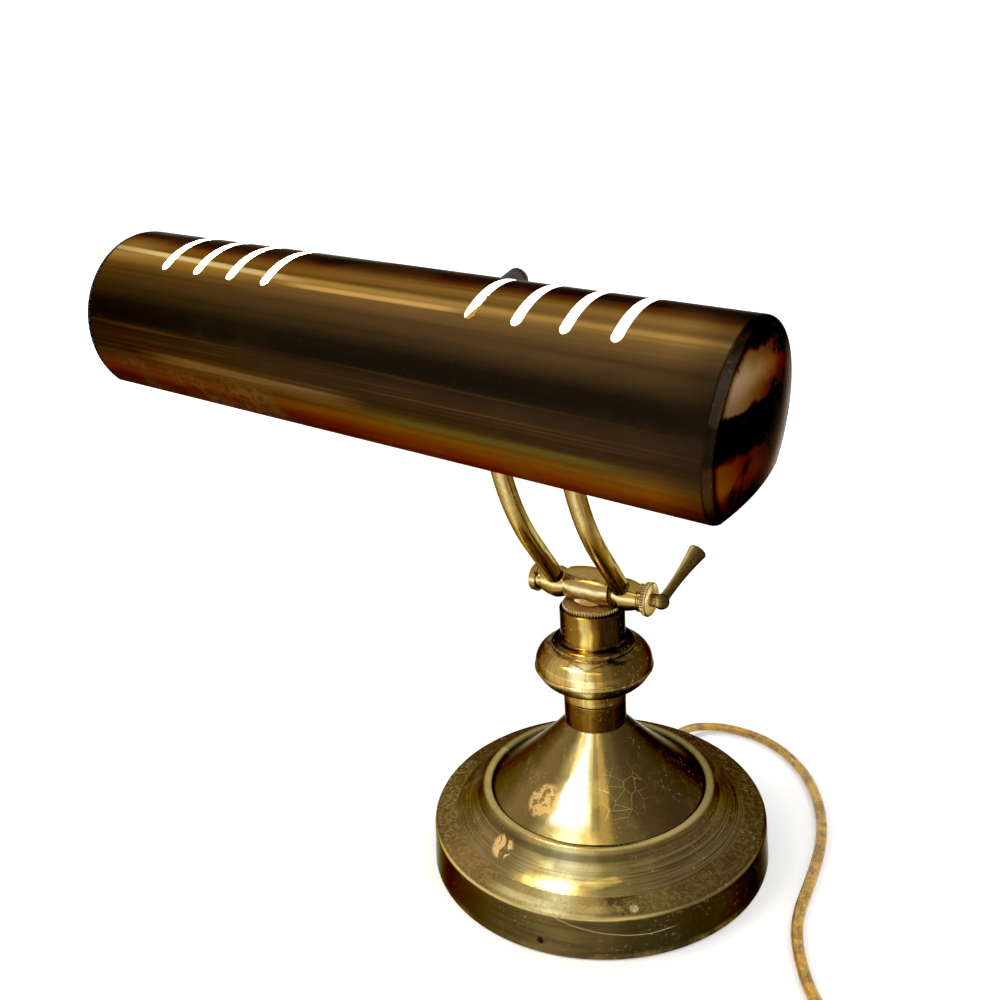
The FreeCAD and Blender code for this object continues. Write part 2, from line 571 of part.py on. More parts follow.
def make_clamp():
    blank = turned("clamp_turn", [
        ("bolt_radius + bolt_gap", "0"), ("clamp_radius - 1.0", "0"), ("clamp_radius", "0.7"),
        ("clamp_radius", "clamp_knurl"), ("clamp_radius - 0.5", "clamp_knurl + 0.6", "7", "right"),
        ("clamp_nose_radius", "clamp_length"), ("bolt_radius + bolt_gap", "clamp_length"),
    ])
    nut = knurled("clamp_flutes", blank, "clamp_radius", "tooth_depth", "clamp_teeth", "clamp_knurl")
    keep(place(nut, ("clamp_inner", "0", "pivot_height"), ALONG_X), "clamp_nut")

    neck = cylinder("hub_neck", "hub_neck_radius", "hub_neck_length + hub_radius * 0.3",
                    ("clamp_outer", "0", "pivot_height"), ALONG_X)
    ball = bind(doc.addObject("Part::Sphere", "hub_ball"), Radius="hub_radius")
    middle = ("hub_centre", "0", "pivot_height")
    place(ball, middle)
    swing = FreeCAD.Rotation(X_AXIS, size("lever_rise") - 90)
    turn = swing * FreeCAD.Rotation(Y_AXIS, size("lever_splay"))
    seat = cylinder("hub_seat", "lever_root_radius", "lever_length", middle, turn)
    keep(cut("hub_cut", fused("hub_solid", neck, ball), seat), "lever_hub")

    handle = turned("handle_turn", [
        ("0", "0"), ("lever_root_radius", "0"), ("lever_root_radius", "hub_radius", "150", "left"),
        ("lever_end_radius", "lever_length - 0.6"), ("lever_end_radius - 0.3", "lever_length"),
        ("lever_tip_flat", "lever_length + lever_tip"), ("0", "lever_length + lever_tip"),
    ])
    keep(place(handle, middle, turn), "lever_handle")


# ---------------------------------------------------------------- arms
def arm_path(start, reach):
    """The swan neck in the arm's own frame, whose Z axis leans forward with the arm's first run."""
    lean_sin, lean_cos = "sin(arm_lean)", "cos(arm_lean)"
    knee_y = f"(arm_low_bend * (1 - {lean_cos}))"
    knee_z = f"(arm_run + arm_low_bend * {lean_sin})"
    top_y = f"({knee_y} + arm_riser * {lean_sin})"
    top_z = f"({knee_z} + arm_riser * {lean_cos})"
    over_y = f"({top_y} + arm_high_bend * ({lean_sin} - {lean_cos}))"
    over_z = f"({top_z} + arm_high_bend * ({lean_sin} + {lean_cos}))"
    return [
        ("0", start),
        ("0", "arm_run", "arm_low_bend", "left"),
        (knee_y, knee_z),
        (top_y, top_z, "arm_high_bend", "right"),
        (over_y, over_z),
        (f"{over_y} - ({reach}) * {lean_cos}", f"{over_z} + ({reach}) * {lean_sin}"),
    ]


def make_arms():
    for side, word in SIDES:
        path = arm_path("arm_start", "arm_reach")
        tube = piped(f"arm_{word}", path, ["arm_radius", "arm_bore"], "arm_start")
        place(tube, (f"{side} * arm_spacing", "0", "pivot_height"), angle="arm_lean")
        keep(tube, f"arm_tube_{word}")
    lead = piped("arm_wire", arm_path("arm_start + 2", "arm_reach - 1"), ["lead_radius"], "arm_start + 2")
    keep(place(lead, ("arm_spacing", "0", "pivot_height"), angle="arm_lean"), "arm_lead")


# ---------------------------------------------------------------- shade
# The shade and all it holds are built level and then tipped together about the middle of the shade's axis.
def at_shade(x="0", y="0", z="0"):
    """A point given from the middle of the shade's axis, with the shade level."""
    return (x, f"shade_y + {y}", f"shade_z + {z}")


def tipped(name, *items):
    """The items turned with the shade, whose right end hangs lower than its left."""
    group = doc.addObject("Part::Compound", name)
    group.Links = list(items)
    foot = V(size("-shade_z * sin(shade_tip)"), 0, size("shade_z * (1 - cos(shade_tip))"))
    group.Placement = FreeCAD.Placement(foot, FreeCAD.Rotation(Y_AXIS, size("shade_tip")))
    group.setExpression("Placement.Base.x", formula("-shade_z * sin(shade_tip)"))
    group.setExpression("Placement.Base.z", formula("shade_z * (1 - cos(shade_tip))"))
    group.setExpression("Placement.Rotation.Angle", formula("shade_tip"))
    return group


def keep_tipped(label, *items):
    return keep(tipped(label + "_tipped", *items), label)


def at_arm(side, y):
    """A point on an arm's end, given in the level shade's directions."""
    return at_shade(f"{side} * arm_across", y, f"{side} * arm_drop")


def on_shade(x, radius, angle):
    """A point given by its distance along the shade, its radius and its angle up from the rear."""
    return at_shade(x, f"({radius}) * cos({angle})", f"({radius}) * sin({angle})")


def spoke(name, radius, x, inner, length, angle):
    """A cylinder square to the shade's axis that starts at a radius from it."""
    return cylinder(name, radius, length, on_shade(x, inner, angle), angle=f"({angle}) - 90")


def along_switch(name, radius, start, length):
    """A cylinder along the switch's stem, from a distance out from the foot of the stem's own line."""
    return cylinder(name, radius, length, on_switch(start), angle="switch_angle - 90")


def on_switch(out):
    """A point on the stem's line, which passes above the shade's axis by the switch's offset."""
    return at_shade("switch_place", f"({out}) * cos(switch_angle) - switch_offset * sin(switch_angle)",
                    f"({out}) * sin(switch_angle) + switch_offset * cos(switch_angle)")


def cap_screw(name, side, angle):
    """One small screw through the shell into a cap's skirt."""
    return spoke(name, "screw_radius", f"{side} * (shade_length / 2 - cap_skirt / 2)",
                 "shade_inner - cap_sheet", "screw_length", angle)


CAP_SCREW_ANGLES = ("40", "-20")
# where one arc of the shade sheet's outline ends and the next begins, from front to back
SHEET_ARC_ANGLES = ("160", "110", "70", "20")


def make_shade_shell():
    def rim_point(radius, angle):
        return (f"{radius} * cos({angle})", f"{radius} * sin({angle})")
    outer = [(*rim_point("shade_radius", angle), "shade_radius", "left") for angle in SHEET_ARC_ANGLES]
    inner = [(*rim_point("shade_inner", angle), "shade_inner", "right")
             for angle in reversed(SHEET_ARC_ANGLES)]
    body = padded("shade_sheet", "YZ_Plane", [[
        (*rim_point("shade_radius", "mouth_front"), "shade_radius", "left"), *outer,
        rim_point("shade_radius", "mouth_rear"),
        (*rim_point("shade_inner", "mouth_rear"), "shade_inner", "right"), *inner,
        rim_point("shade_inner", "mouth_front"),
    ]], "shade_length", symmetric=True)
    slots = sketch_on(body, "XY_Plane", "shade_slots")
    half = "slot_width / 2"
    for side, _ in SIDES:
        for number in range(int(size("slots_per_side"))):
            x = f"{side} * (slot_first + {number} * slot_pitch)"
            end = f"(slot_reach - {half})"
            draw(slots, [
                (f"{x} - {half}", f"-{end}", half, "right"), (x, "-slot_reach", half, "right"),
                (f"{x} + {half}", f"-{end}"), (f"{x} + {half}", end, half, "right"),
                (x, "slot_reach", half, "right"), (f"{x} - {half}", end),
            ])
    doc.recompute()
    pocket = body.newObject("PartDesign::Pocket", "shade_slot_cut")
    pocket.Profile = slots
    pocket.Reversed = True
    bind(pocket, Length="shade_radius * 1.2")
    place(body, at_shade())

    holes = [along_switch("shade_switch_hole", "switch_hole", "shade_radius / 2", "shade_radius")]
    for side, word in SIDES:
        holes.append(cylinder(f"shade_arm_hole_{word}", "arm_radius", "10",
                              at_arm(side, "shade_radius - 5"), ALONG_Y))
        for angle in CAP_SCREW_ANGLES:
            holes.append(cap_screw(f"shade_screw_hole_{word}_{angle}", side, angle))
    keep_tipped("shade_shell", cut("shade_shell_cut", body, *holes))


def make_shade_caps():
    rim = "(shade_radius - cap_rim_round)"
    ball = dome_radius(rim, "cap_dome")
    crown = "(cap_rim_round + cap_dome)"
    inner_rim = "(shade_inner - cap_rim_round)"
    inner_rise = f"{crown} - {ball} + sqrt(({ball} - cap_sheet) ^ 2 - {inner_rim} ^ 2)"
    across = "4 * shade_radius"
    away = f"mouth_depth + {across}"
    screws = []
    for side, word in SIDES:
        blank = turned(f"cap_{word}_turn", [
            ("shade_inner", "-cap_skirt"), ("shade_inner", "0"),
            ("shade_radius", "0", "cap_rim_round", "right"),
            (rim, "cap_rim_round", ball, "right"), ("0", crown),
            ("0", f"{crown} - cap_sheet", f"{ball} - cap_sheet", "left"),
            (inner_rim, inner_rise, "cap_rim_round", "left"),
            ("shade_inner - cap_sheet", "-0.6"), ("shade_inner - cap_sheet", "-cap_skirt"),
        ])
        place(blank, at_shade(f"{side} * shade_length / 2"), ALONG_X if side > 0 else ALONG_MINUS_X)
        corner = at_shade(f"{side} * shade_length / 2 - cap_skirt - 5",
                          f"({away}) * cos(mouth_middle) + {across} / 2 * sin(mouth_middle)",
                          f"({away}) * sin(mouth_middle) - {across} / 2 * cos(mouth_middle)")
        below = block(f"cap_{word}_mouth", ("2 * cap_skirt + 10", across, across), corner,
                      angle="mouth_middle - 270")
        seats = []
        for angle in CAP_SCREW_ANGLES:
            screws.append(cap_screw(f"cap_screw_{word}_{angle}", side, angle))
            seats.append(cap_screw(f"cap_screw_seat_{word}_{angle}", side, angle))
        opened = cut(f"cap_{word}_opened", blank, below)
        keep_tipped(f"shade_cap_{word}", cut(f"cap_{word}_cut", opened, *seats))
    keep_tipped("shade_cap_screws", *screws)


def make_shade_mounting():
    """Ferrules outside the shade's rear wall, and a bracket and nuts inside it, on both arm ends."""
    ferrules, nuts, holes = [], [], []
    for side, word in SIDES:
        ferrule = turned(f"ferrule_{word}_turn", [
            ("arm_radius", "0"), ("ferrule_radius", "0"), ("ferrule_radius", "1.6", "6", "right"),
            ("ferrule_nose", "ferrule_length"), ("arm_radius", "ferrule_length"),
        ])
        place(ferrule, at_arm(side, "shade_radius - 0.8"), ALONG_Y)
        saddle = cylinder(f"ferrule_{word}_saddle", "shade_radius", "2 * ferrule_radius + 2",
                          at_shade(f"{side} * arm_across - ferrule_radius - 1"), ALONG_X)
        ferrules.append(cut(f"ferrule_{word}", ferrule, saddle))
        nut = disc(f"arm_nut_{word}", "arm_nut_length", "arm_nut_radius", "arm_radius")
        nuts.append(place(nut, at_arm(side, "bracket_back - bracket_sheet - arm_nut_length"), ALONG_Y))
        holes.append(cylinder(f"bracket_hole_{word}", "arm_radius", "10",
                              at_arm(side, "bracket_back - 6"), ALONG_Y))
    keep_tipped("arm_ferrules", *ferrules)
    keep_tipped("arm_nuts", *nuts)

    plate_length = "bracket_left + socket_back + bracket_sheet"
    plate = block("bracket_plate", (plate_length, "bracket_sheet", "bracket_width"),
                  at_shade("-bracket_left", "bracket_back - bracket_sheet", "-bracket_width / 2"))
    leg = block("bracket_leg", ("bracket_sheet", "bracket_back + nipple_nut_radius + 1", "bracket_width"),
                at_shade("socket_back", "-nipple_nut_radius - 1", "-bracket_width / 2"))
    holes.append(cylinder("bracket_nipple_hole", "nipple_radius", "8", at_shade("socket_back - 3"), ALONG_X))
    keep_tipped("shade_bracket", cut("bracket_cut", fused("bracket_solid", plate, leg), *holes))


# ---------------------------------------------------------------- socket, bulb and switch
def make_socket():
    shell = turned("socket_turn", [
        ("socket_radius - socket_sheet", "0"), ("socket_radius + 0.4", "0"), ("socket_radius + 0.4", "1.2"),
        ("socket_radius", "1.6"), ("socket_radius", "socket_length"),
        ("socket_radius - socket_sheet", "socket_length"),
    ])
    place(shell, at_shade("socket_mouth"), ALONG_X)
    window = along_switch("socket_window", "switch_stem_radius + 3 * key_gap", "key_floor", "2 * key_depth")
    keep_tipped("socket_shell", cut("socket_shell_cut", shell, window))

    cap = turned("socket_cap_turn", [
        ("nipple_radius", "socket_cap_length"), ("nipple_radius", "socket_cap_length - 1.2"),
        ("socket_cap_nose - 1", "socket_cap_length - 1.2", "16", "left"),
        ("socket_radius - 0.6", "0"), ("socket_radius", "0", "15", "right"),
        ("socket_cap_nose", "socket_cap_length"),
    ])
    keep_tipped("socket_cap", place(cap, at_shade("socket_end"), ALONG_X))

    sleeve = "socket_radius - socket_sheet"
    insert = turned("insert_turn", [
        ("insert_bore", "insert_lip"), (sleeve, "insert_lip"), (sleeve, "socket_length"),
        ("0", "socket_length"), ("0", "insert_length"), ("insert_bore", "insert_length"),
    ])
    place(insert, at_shade("socket_mouth"), ALONG_X)
    key_seat = along_switch("insert_key_seat", "switch_stem_radius + key_gap", "key_floor - key_gap",
                            "2 * key_depth")
    keep_tipped("socket_insert", cut("insert_cut", insert, key_seat))

    nipple = disc("nipple_tube", "nipple_length", "nipple_radius", "nipple_bore")
    keep_tipped("socket_nipple", place(nipple, at_shade("socket_back - nipple_grip"), ALONG_X))
    nut = disc("nipple_nut_ring", "nipple_nut_length", "nipple_nut_radius", "nipple_radius")
    keep_tipped("nipple_nut", place(nut, at_shade("socket_back + bracket_sheet"), ALONG_X))

    tube_end, elbow = "socket_back + 1.5 * nipple_length", "(arm_spacing + socket_back) / 2"
    above = "bracket_width / 2 + 3"
    route = [
        at_arm(1, "shade_radius - arm_inside + 0.8"),
        at_shade("arm_across", "shade_radius - arm_inside - 3", "arm_drop + 0.8"),
        at_shade("arm_across + 6", "shade_radius - arm_inside - 5", "6"),
        at_shade(elbow, "socket_radius + 3", above), at_shade("socket_back + 2", "socket_radius + 2", above),
        at_shade(f"{tube_end} - 4", "socket_radius - 3", "8"), at_shade(tube_end, "5", "2"),
        at_shade(f"{tube_end} - 4", "0.6"), at_shade("socket_back + 3"),
    ]
    lead = round_tube("socket_wire", "lead_radius", [[size(text) for text in point] for point in route])
    keep_tipped("socket_lead", lead)


def make_bulb():
    threads = []
    for turn in range(4):
        crest = f"2.2 + {turn} * bulb_thread_pitch"
        threads.append(("bulb_base_radius", crest))
        threads.append(("bulb_base_radius - bulb_thread_depth", f"{crest} + bulb_thread_pitch / 2"))
    base = turned("bulb_base_turn", [
        ("0", "0"), ("bulb_neck", "0"), ("bulb_base_radius - 0.5", "1"), *threads,
        ("bulb_base_radius - bulb_thread_depth", "bulb_base_length - 4"),
        ("bulb_contact", "bulb_base_length"), ("0", "bulb_base_length"),
    ])
    keep_tipped("bulb_base", place(base, at_shade("bulb_foot"), ALONG_X))

    inner, shoulder = "(bulb_radius - bulb_wall)", "bulb_shoulder * 1.3"
    glass = turned("glass_turn", [
        ("bulb_neck", "0"), ("bulb_neck", "-1.5", shoulder, "left"), ("bulb_radius", "-bulb_shoulder"),
        ("bulb_radius", "bulb_radius - bulb_length", "bulb_radius", "left"), ("0", "-bulb_length"),
        ("0", "bulb_wall - bulb_length", inner, "right"), (inner, "bulb_radius - bulb_length"),
        (inner, "-bulb_shoulder", shoulder, "right"), ("bulb_neck - bulb_wall", "-1.5"),
        ("bulb_neck - bulb_wall", "0"),
    ])
    keep_tipped("bulb_glass", place(glass, at_shade("bulb_foot"), ALONG_X))
    stem = turned("stem_turn", [
        ("0", "0"), ("bulb_stem_radius + 2", "0"), ("bulb_stem_radius", "-6"),
        ("bulb_stem_radius - 1.5", "-bulb_stem_length"), ("0", "-bulb_stem_length"),
    ])
    keep_tipped("bulb_stem", place(stem, at_shade("bulb_foot"), ALONG_X))

    posts = []
    for side, word in SIDES:
        foot = at_shade("bulb_foot - bulb_stem_length", "0", f"{side} * filament_spread / 2")
        posts.append(cylinder(f"filament_post_{word}", "filament_radius",
                              "filament_reach - bulb_stem_length", foot, ALONG_MINUS_X))
    end = at_shade("bulb_foot - filament_reach + filament_radius", "0", "-filament_spread / 2 - 0.3")
    bridge = cylinder("filament_bridge", "filament_radius * 0.8", "filament_spread + 0.6", end)
    keep_tipped("bulb_filament", fused("filament_wires", *posts, bridge))


def make_switch():
    stem = along_switch("switch_rod", "switch_stem_radius", "key_floor",
                        "knob_foot + switch_grip - key_floor")
    keep_tipped("switch_stem", stem)
    taper = "(switch_knob_radius - switch_tip_radius)"
    blank = turned("knob_turn", [
        ("0", "switch_grip"), ("switch_stem_radius", "switch_grip"), ("switch_stem_radius", "0"),
        ("switch_knob_radius - 0.6", "0"), ("switch_knob_radius", "0.8"),
        ("switch_tip_radius", "switch_knob_length - 1.4", "1.6", "right"),
        ("switch_tip_radius - 1.4", "switch_knob_length"), ("0", "switch_knob_length"),
    ])
    lean = math.degrees(math.atan2(size(taper), size("switch_knob_length")))
    knob = knurled("knob_ribs", blank, "switch_knob_radius", "switch_rib_depth", "switch_ribs",
                   "switch_knob_length - 2", lean)
    keep_tipped("switch_knob", place(knob, on_switch("knob_foot"), angle="switch_angle - 90"))


# ---------------------------------------------------------------- cord
# The route on the table, from the bushing's mouth to the coil: x, y and height of the cord's middle.
CORD_ROUTE = [
    (0.0, 95.0, 9.0), (0.0, 109.0, 7.2), (8.0, 124.0, 4.2), (26.0, 131.0, 2.9), (50.0, 127.0, 2.8),
    (74.0, 109.0, 2.8), (92.0, 82.0, 2.8), (103.0, 51.0, 2.8), (107.0, 19.0, 2.8), (109.0, -9.0, 2.8),
    (116.0, -30.0, 2.8), (131.0, -55.0, 2.8), (150.0, -69.0, 2.8), (173.0, -72.0, 2.8), (196.0, -72.0, 2.8),
]
TAIL_ROUTE = [(196.0, -152.0, 2.8), (176.0, -152.0, 2.8), (158.0, -150.0, 2.8)]


def rounded_route(points):
    """Straight runs joined by tangent arcs, each as large as its two runs allow: the wire and the radii."""
    corners = [V(*point) for point in points]
    edges, radii = [], []
    here = corners[0]
    for before, corner, after in zip(corners, corners[1:], corners[2:]):
        come = corner - before
        leave = after - corner
        back = 0.45 * min(come.Length, leave.Length)
        half_turn = come.getAngle(leave) / 2
        radius = back / math.tan(half_turn)
        come.normalize()
        leave.normalize()
        arc_start = corner - come * back
        arc_end = corner + leave * back
        inward = (leave - come).normalize()
        middle = corner + inward * (radius / math.cos(half_turn) - radius)
        edges.append(Part.LineSegment(here, arc_start).toShape())
        edges.append(Part.Arc(arc_start, middle, arc_end).toShape())
        radii.append(radius)
        here = arc_end
    edges.append(Part.LineSegment(here, corners[-1]).toShape())
    return Part.Wire(edges), radii


def round_tube(name, radius, points):
    """A round tube along a route, compared with its section times its length."""
    wire, radii = rounded_route(points)
    start = V(*points[0])
    section = Part.Wire([Part.Circle(start, V(*points[1]) - start, size(radius)).toShape()])
    item = doc.addObject("Part::Feature", name)
    item.Shape = wire.makePipeShell([section], True, False)
    expected = math.pi * size(radius) ** 2 * wire.Length
    print(f"{name}: length {wire.Length:.1f} mm, radii {[round(value, 1) for value in radii]},"
          f" volume {item.Shape.Volume / expected:.4f} of section times length")
    return item


def make_cord():
    bushing = turned("bushing_turn", [
        ("cord_radius", "-bushing_depth"), ("bushing_inner - bushing_gap", "-bushing_depth"),
        ("bushing_inner - bushing_gap", "0"), ("bushing_flange", "0"),
        ("bushing_flange", "bushing_flange_thick"),
        ("bushing_root", "bushing_flange_thick"), ("bushing_tip", "bushing_length"),
        ("cord_radius", "bushing_length"),
    ])
    keep(place(bushing, ("0", "base_radius", "cord_exit_height"), ALONG_Y), "cord_bushing")

    inlet = "(base_radius - bushing_depth + 2)"
    lead = piped("lead_pipe", [
        ("0", "0"), ("0", f"{inlet} - lead_bend", "lead_bend", "left"), ("lead_bend", inlet),
        ("lead_top", inlet),
    ], ["lead_radius"], "0")
    keep(place(lead, ("0", inlet, "cord_exit_height"), FreeCAD.Rotation(X_AXIS, 90)), "base_lead")

    keep(round_tube("cord_run", "cord_radius", CORD_ROUTE), "cord")
    keep(round_tube("cord_tail_run", "cord_radius", TAIL_ROUTE), "cord_tail")
    coil = turned("coil_turn", [
        ("coil_inner", "coil_round"), ("coil_inner + coil_round", "0"), ("coil_outer - coil_round", "0"),
        ("coil_outer", "coil_round"), ("coil_outer", "coil_height - coil_round"),
        ("coil_outer - coil_round", "coil_height"), ("coil_inner + coil_round", "coil_height"),
        ("coil_inner", "coil_height - coil_round"),
    ])
    keep(place(coil, ("coil_x", "coil_y", "0")), "cord_coil")


def make_plug():
    """A flat two-blade plug that lies on the table at the end of the cord's tail."""
    before, end = V(*TAIL_ROUTE[-2]), V(*TAIL_ROUTE[-1])
    heading = end - before
    turn = FreeCAD.Rotation(Z_AXIS, math.degrees(math.atan2(heading.y, heading.x)))
    half, waist, shoulder = "plug_width / 2", "plug_waist / 2", "(plug_waist / 2 + plug_shoulder)"
    body = padded("plug_block", "XY_Plane", [[
        ("0", f"-{waist}"), ("plug_length * 0.35", f"-{shoulder}"), ("plug_length * 0.7", f"-{half}"),
        ("plug_length", f"-{half}"), ("plug_length", half), ("plug_length * 0.7", half),
        ("plug_length * 0.35", shoulder), ("0", waist),
    ]], "plug_height")
    body.Placement = FreeCAD.Placement(V(end.x, end.y, 0), turn)
    keep(body, "plug_body")
    blades = []
    height = size("plug_height / 2 - blade_width / 2")
    for side, word in SIDES:
        blade = doc.addObject("Part::Box", f"plug_blade_{word}")
        bind(blade, Length="blade_length", Width="blade_thickness", Height="blade_width")
        corner = V(size("plug_length"), size(f"{side} * blade_spacing / 2 - blade_thickness / 2"), height)
        blade.Placement = FreeCAD.Placement(V(end.x, end.y, 0) + turn.multVec(corner), turn)
        blades.append(blade)
    keep(grouped("plug_blade_pair", *blades), "plug_blades")


# ---------------------------------------------------------------- build, check and write
make_base_shell()
make_base_filling()
make_rod()
make_neck_foot()
make_ball()
make_cap_collar()
make_lock_ring()
make_barrel()
make_knuckles()
make_bolt()
make_clamp()
make_arms()
make_shade_shell()
make_shade_caps()
make_shade_mounting()
make_socket()
make_bulb()
make_switch()
make_cord()
make_plug()
doc.recompute()

for item in doc.Objects:
    if "Invalid" in item.State or "Error" in item.State:
        raise RuntimeError(f"{item.Name} ({item.Label}) failed: {item.State}")
for item in exported:
    if item.Shape.isNull() or not item.Shape.isValid() or not item.Shape.Solids:
        raise RuntimeError(f"{item.Label} has no valid solid")

os.makedirs("parts", exist_ok=True)
for item in exported:
    item.Shape.exportStep(f"parts/{item.Label}.step")
print(f"{len(exported)} sub-parts written; pivot at height {size('pivot_height'):.2f}, shade axis at height"
      f" {size('shade_z'):.2f}, forward {size('shade_y'):.2f}; lever hub at {size('hub_centre'):.2f}")
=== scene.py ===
"""Looks for the brass piano lamp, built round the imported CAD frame. Everything is in metres."""

import math

import bmesh
import bpy
from mathutils import Matrix, Vector


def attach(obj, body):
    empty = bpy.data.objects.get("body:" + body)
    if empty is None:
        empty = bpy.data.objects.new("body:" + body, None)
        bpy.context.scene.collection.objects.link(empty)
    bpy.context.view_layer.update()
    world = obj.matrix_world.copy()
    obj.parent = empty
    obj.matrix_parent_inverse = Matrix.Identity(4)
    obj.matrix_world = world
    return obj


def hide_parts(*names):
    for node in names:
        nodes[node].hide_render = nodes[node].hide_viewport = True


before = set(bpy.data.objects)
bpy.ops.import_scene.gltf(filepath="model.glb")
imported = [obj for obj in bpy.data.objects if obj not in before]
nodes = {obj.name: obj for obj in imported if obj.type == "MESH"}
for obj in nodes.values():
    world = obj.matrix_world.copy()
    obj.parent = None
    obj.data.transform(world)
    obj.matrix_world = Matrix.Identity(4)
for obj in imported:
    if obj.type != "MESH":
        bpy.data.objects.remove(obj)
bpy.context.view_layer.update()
scene = bpy.context.scene

# Places the looks depend on, all from the CAD: the radii of the lock ring's and the clamp nut's
# teeth, the flutes' depth between them, rounded up, the shade's axis, half length and slope, and
# the height of the knuckle's bolt.
RING_FULL = 0.0145
CLAMP_FULL = 0.0084
FLUTE_DEPTH = 0.0005
SHADE_Y = -0.1295
SHADE_Z = 0.28438
SHADE_END = 0.125
SHADE_TIP = math.radians(5.3)
PIVOT_Z = 0.14564


# ---------------------------------------------------------------- camera
PHOTO_SIDE = 1000
FOCAL_PIXELS = 1041.26
SENSOR_MM = 36.0
CAMERA_PLACE = Vector((0.226328, -0.406017, 0.354296))
CAMERA_AZIMUTH = math.radians(34.2865)
CAMERA_PITCH = math.radians(19.1516)
CAMERA_ROLL = math.radians(-3.5376)
CLIP_NEAR = 0.01
CLIP_FAR = 100


def make_camera():
    flat = math.cos(CAMERA_PITCH)
    ahead = Vector((-math.sin(CAMERA_AZIMUTH) * flat, math.cos(CAMERA_AZIMUTH) * flat,
                    -math.sin(CAMERA_PITCH)))
    level = ahead.cross(Vector((0, 0, 1))).normalized()
    upright = level.cross(ahead)
    cos_roll, sin_roll = math.cos(CAMERA_ROLL), math.sin(CAMERA_ROLL)
    right = level * cos_roll + upright * sin_roll
    up = upright * cos_roll - level * sin_roll
    data = bpy.data.cameras.new("camera")
    data.sensor_fit = "HORIZONTAL"
    data.sensor_width = SENSOR_MM
    data.lens = SENSOR_MM * FOCAL_PIXELS / PHOTO_SIDE
    data.clip_start = CLIP_NEAR
    data.clip_end = CLIP_FAR
    camera = bpy.data.objects.new("camera", data)
    turn = Matrix((right, up, -ahead)).transposed().to_4x4()
    camera.matrix_world = Matrix.Translation(CAMERA_PLACE) @ turn
    scene.collection.objects.link(camera)
    scene.camera = camera


make_camera()


# ---------------------------------------------------------------- node helpers
def srgb(red, green, blue):
    """A colour as it looks on a screen, 0 to 255, as linear values."""
    def linear(value):
        value /= 255.0
        return value / 12.92 if value <= 0.04045 else ((value + 0.055) / 1.055) ** 2.4
    return (linear(red), linear(green), linear(blue), 1.0)


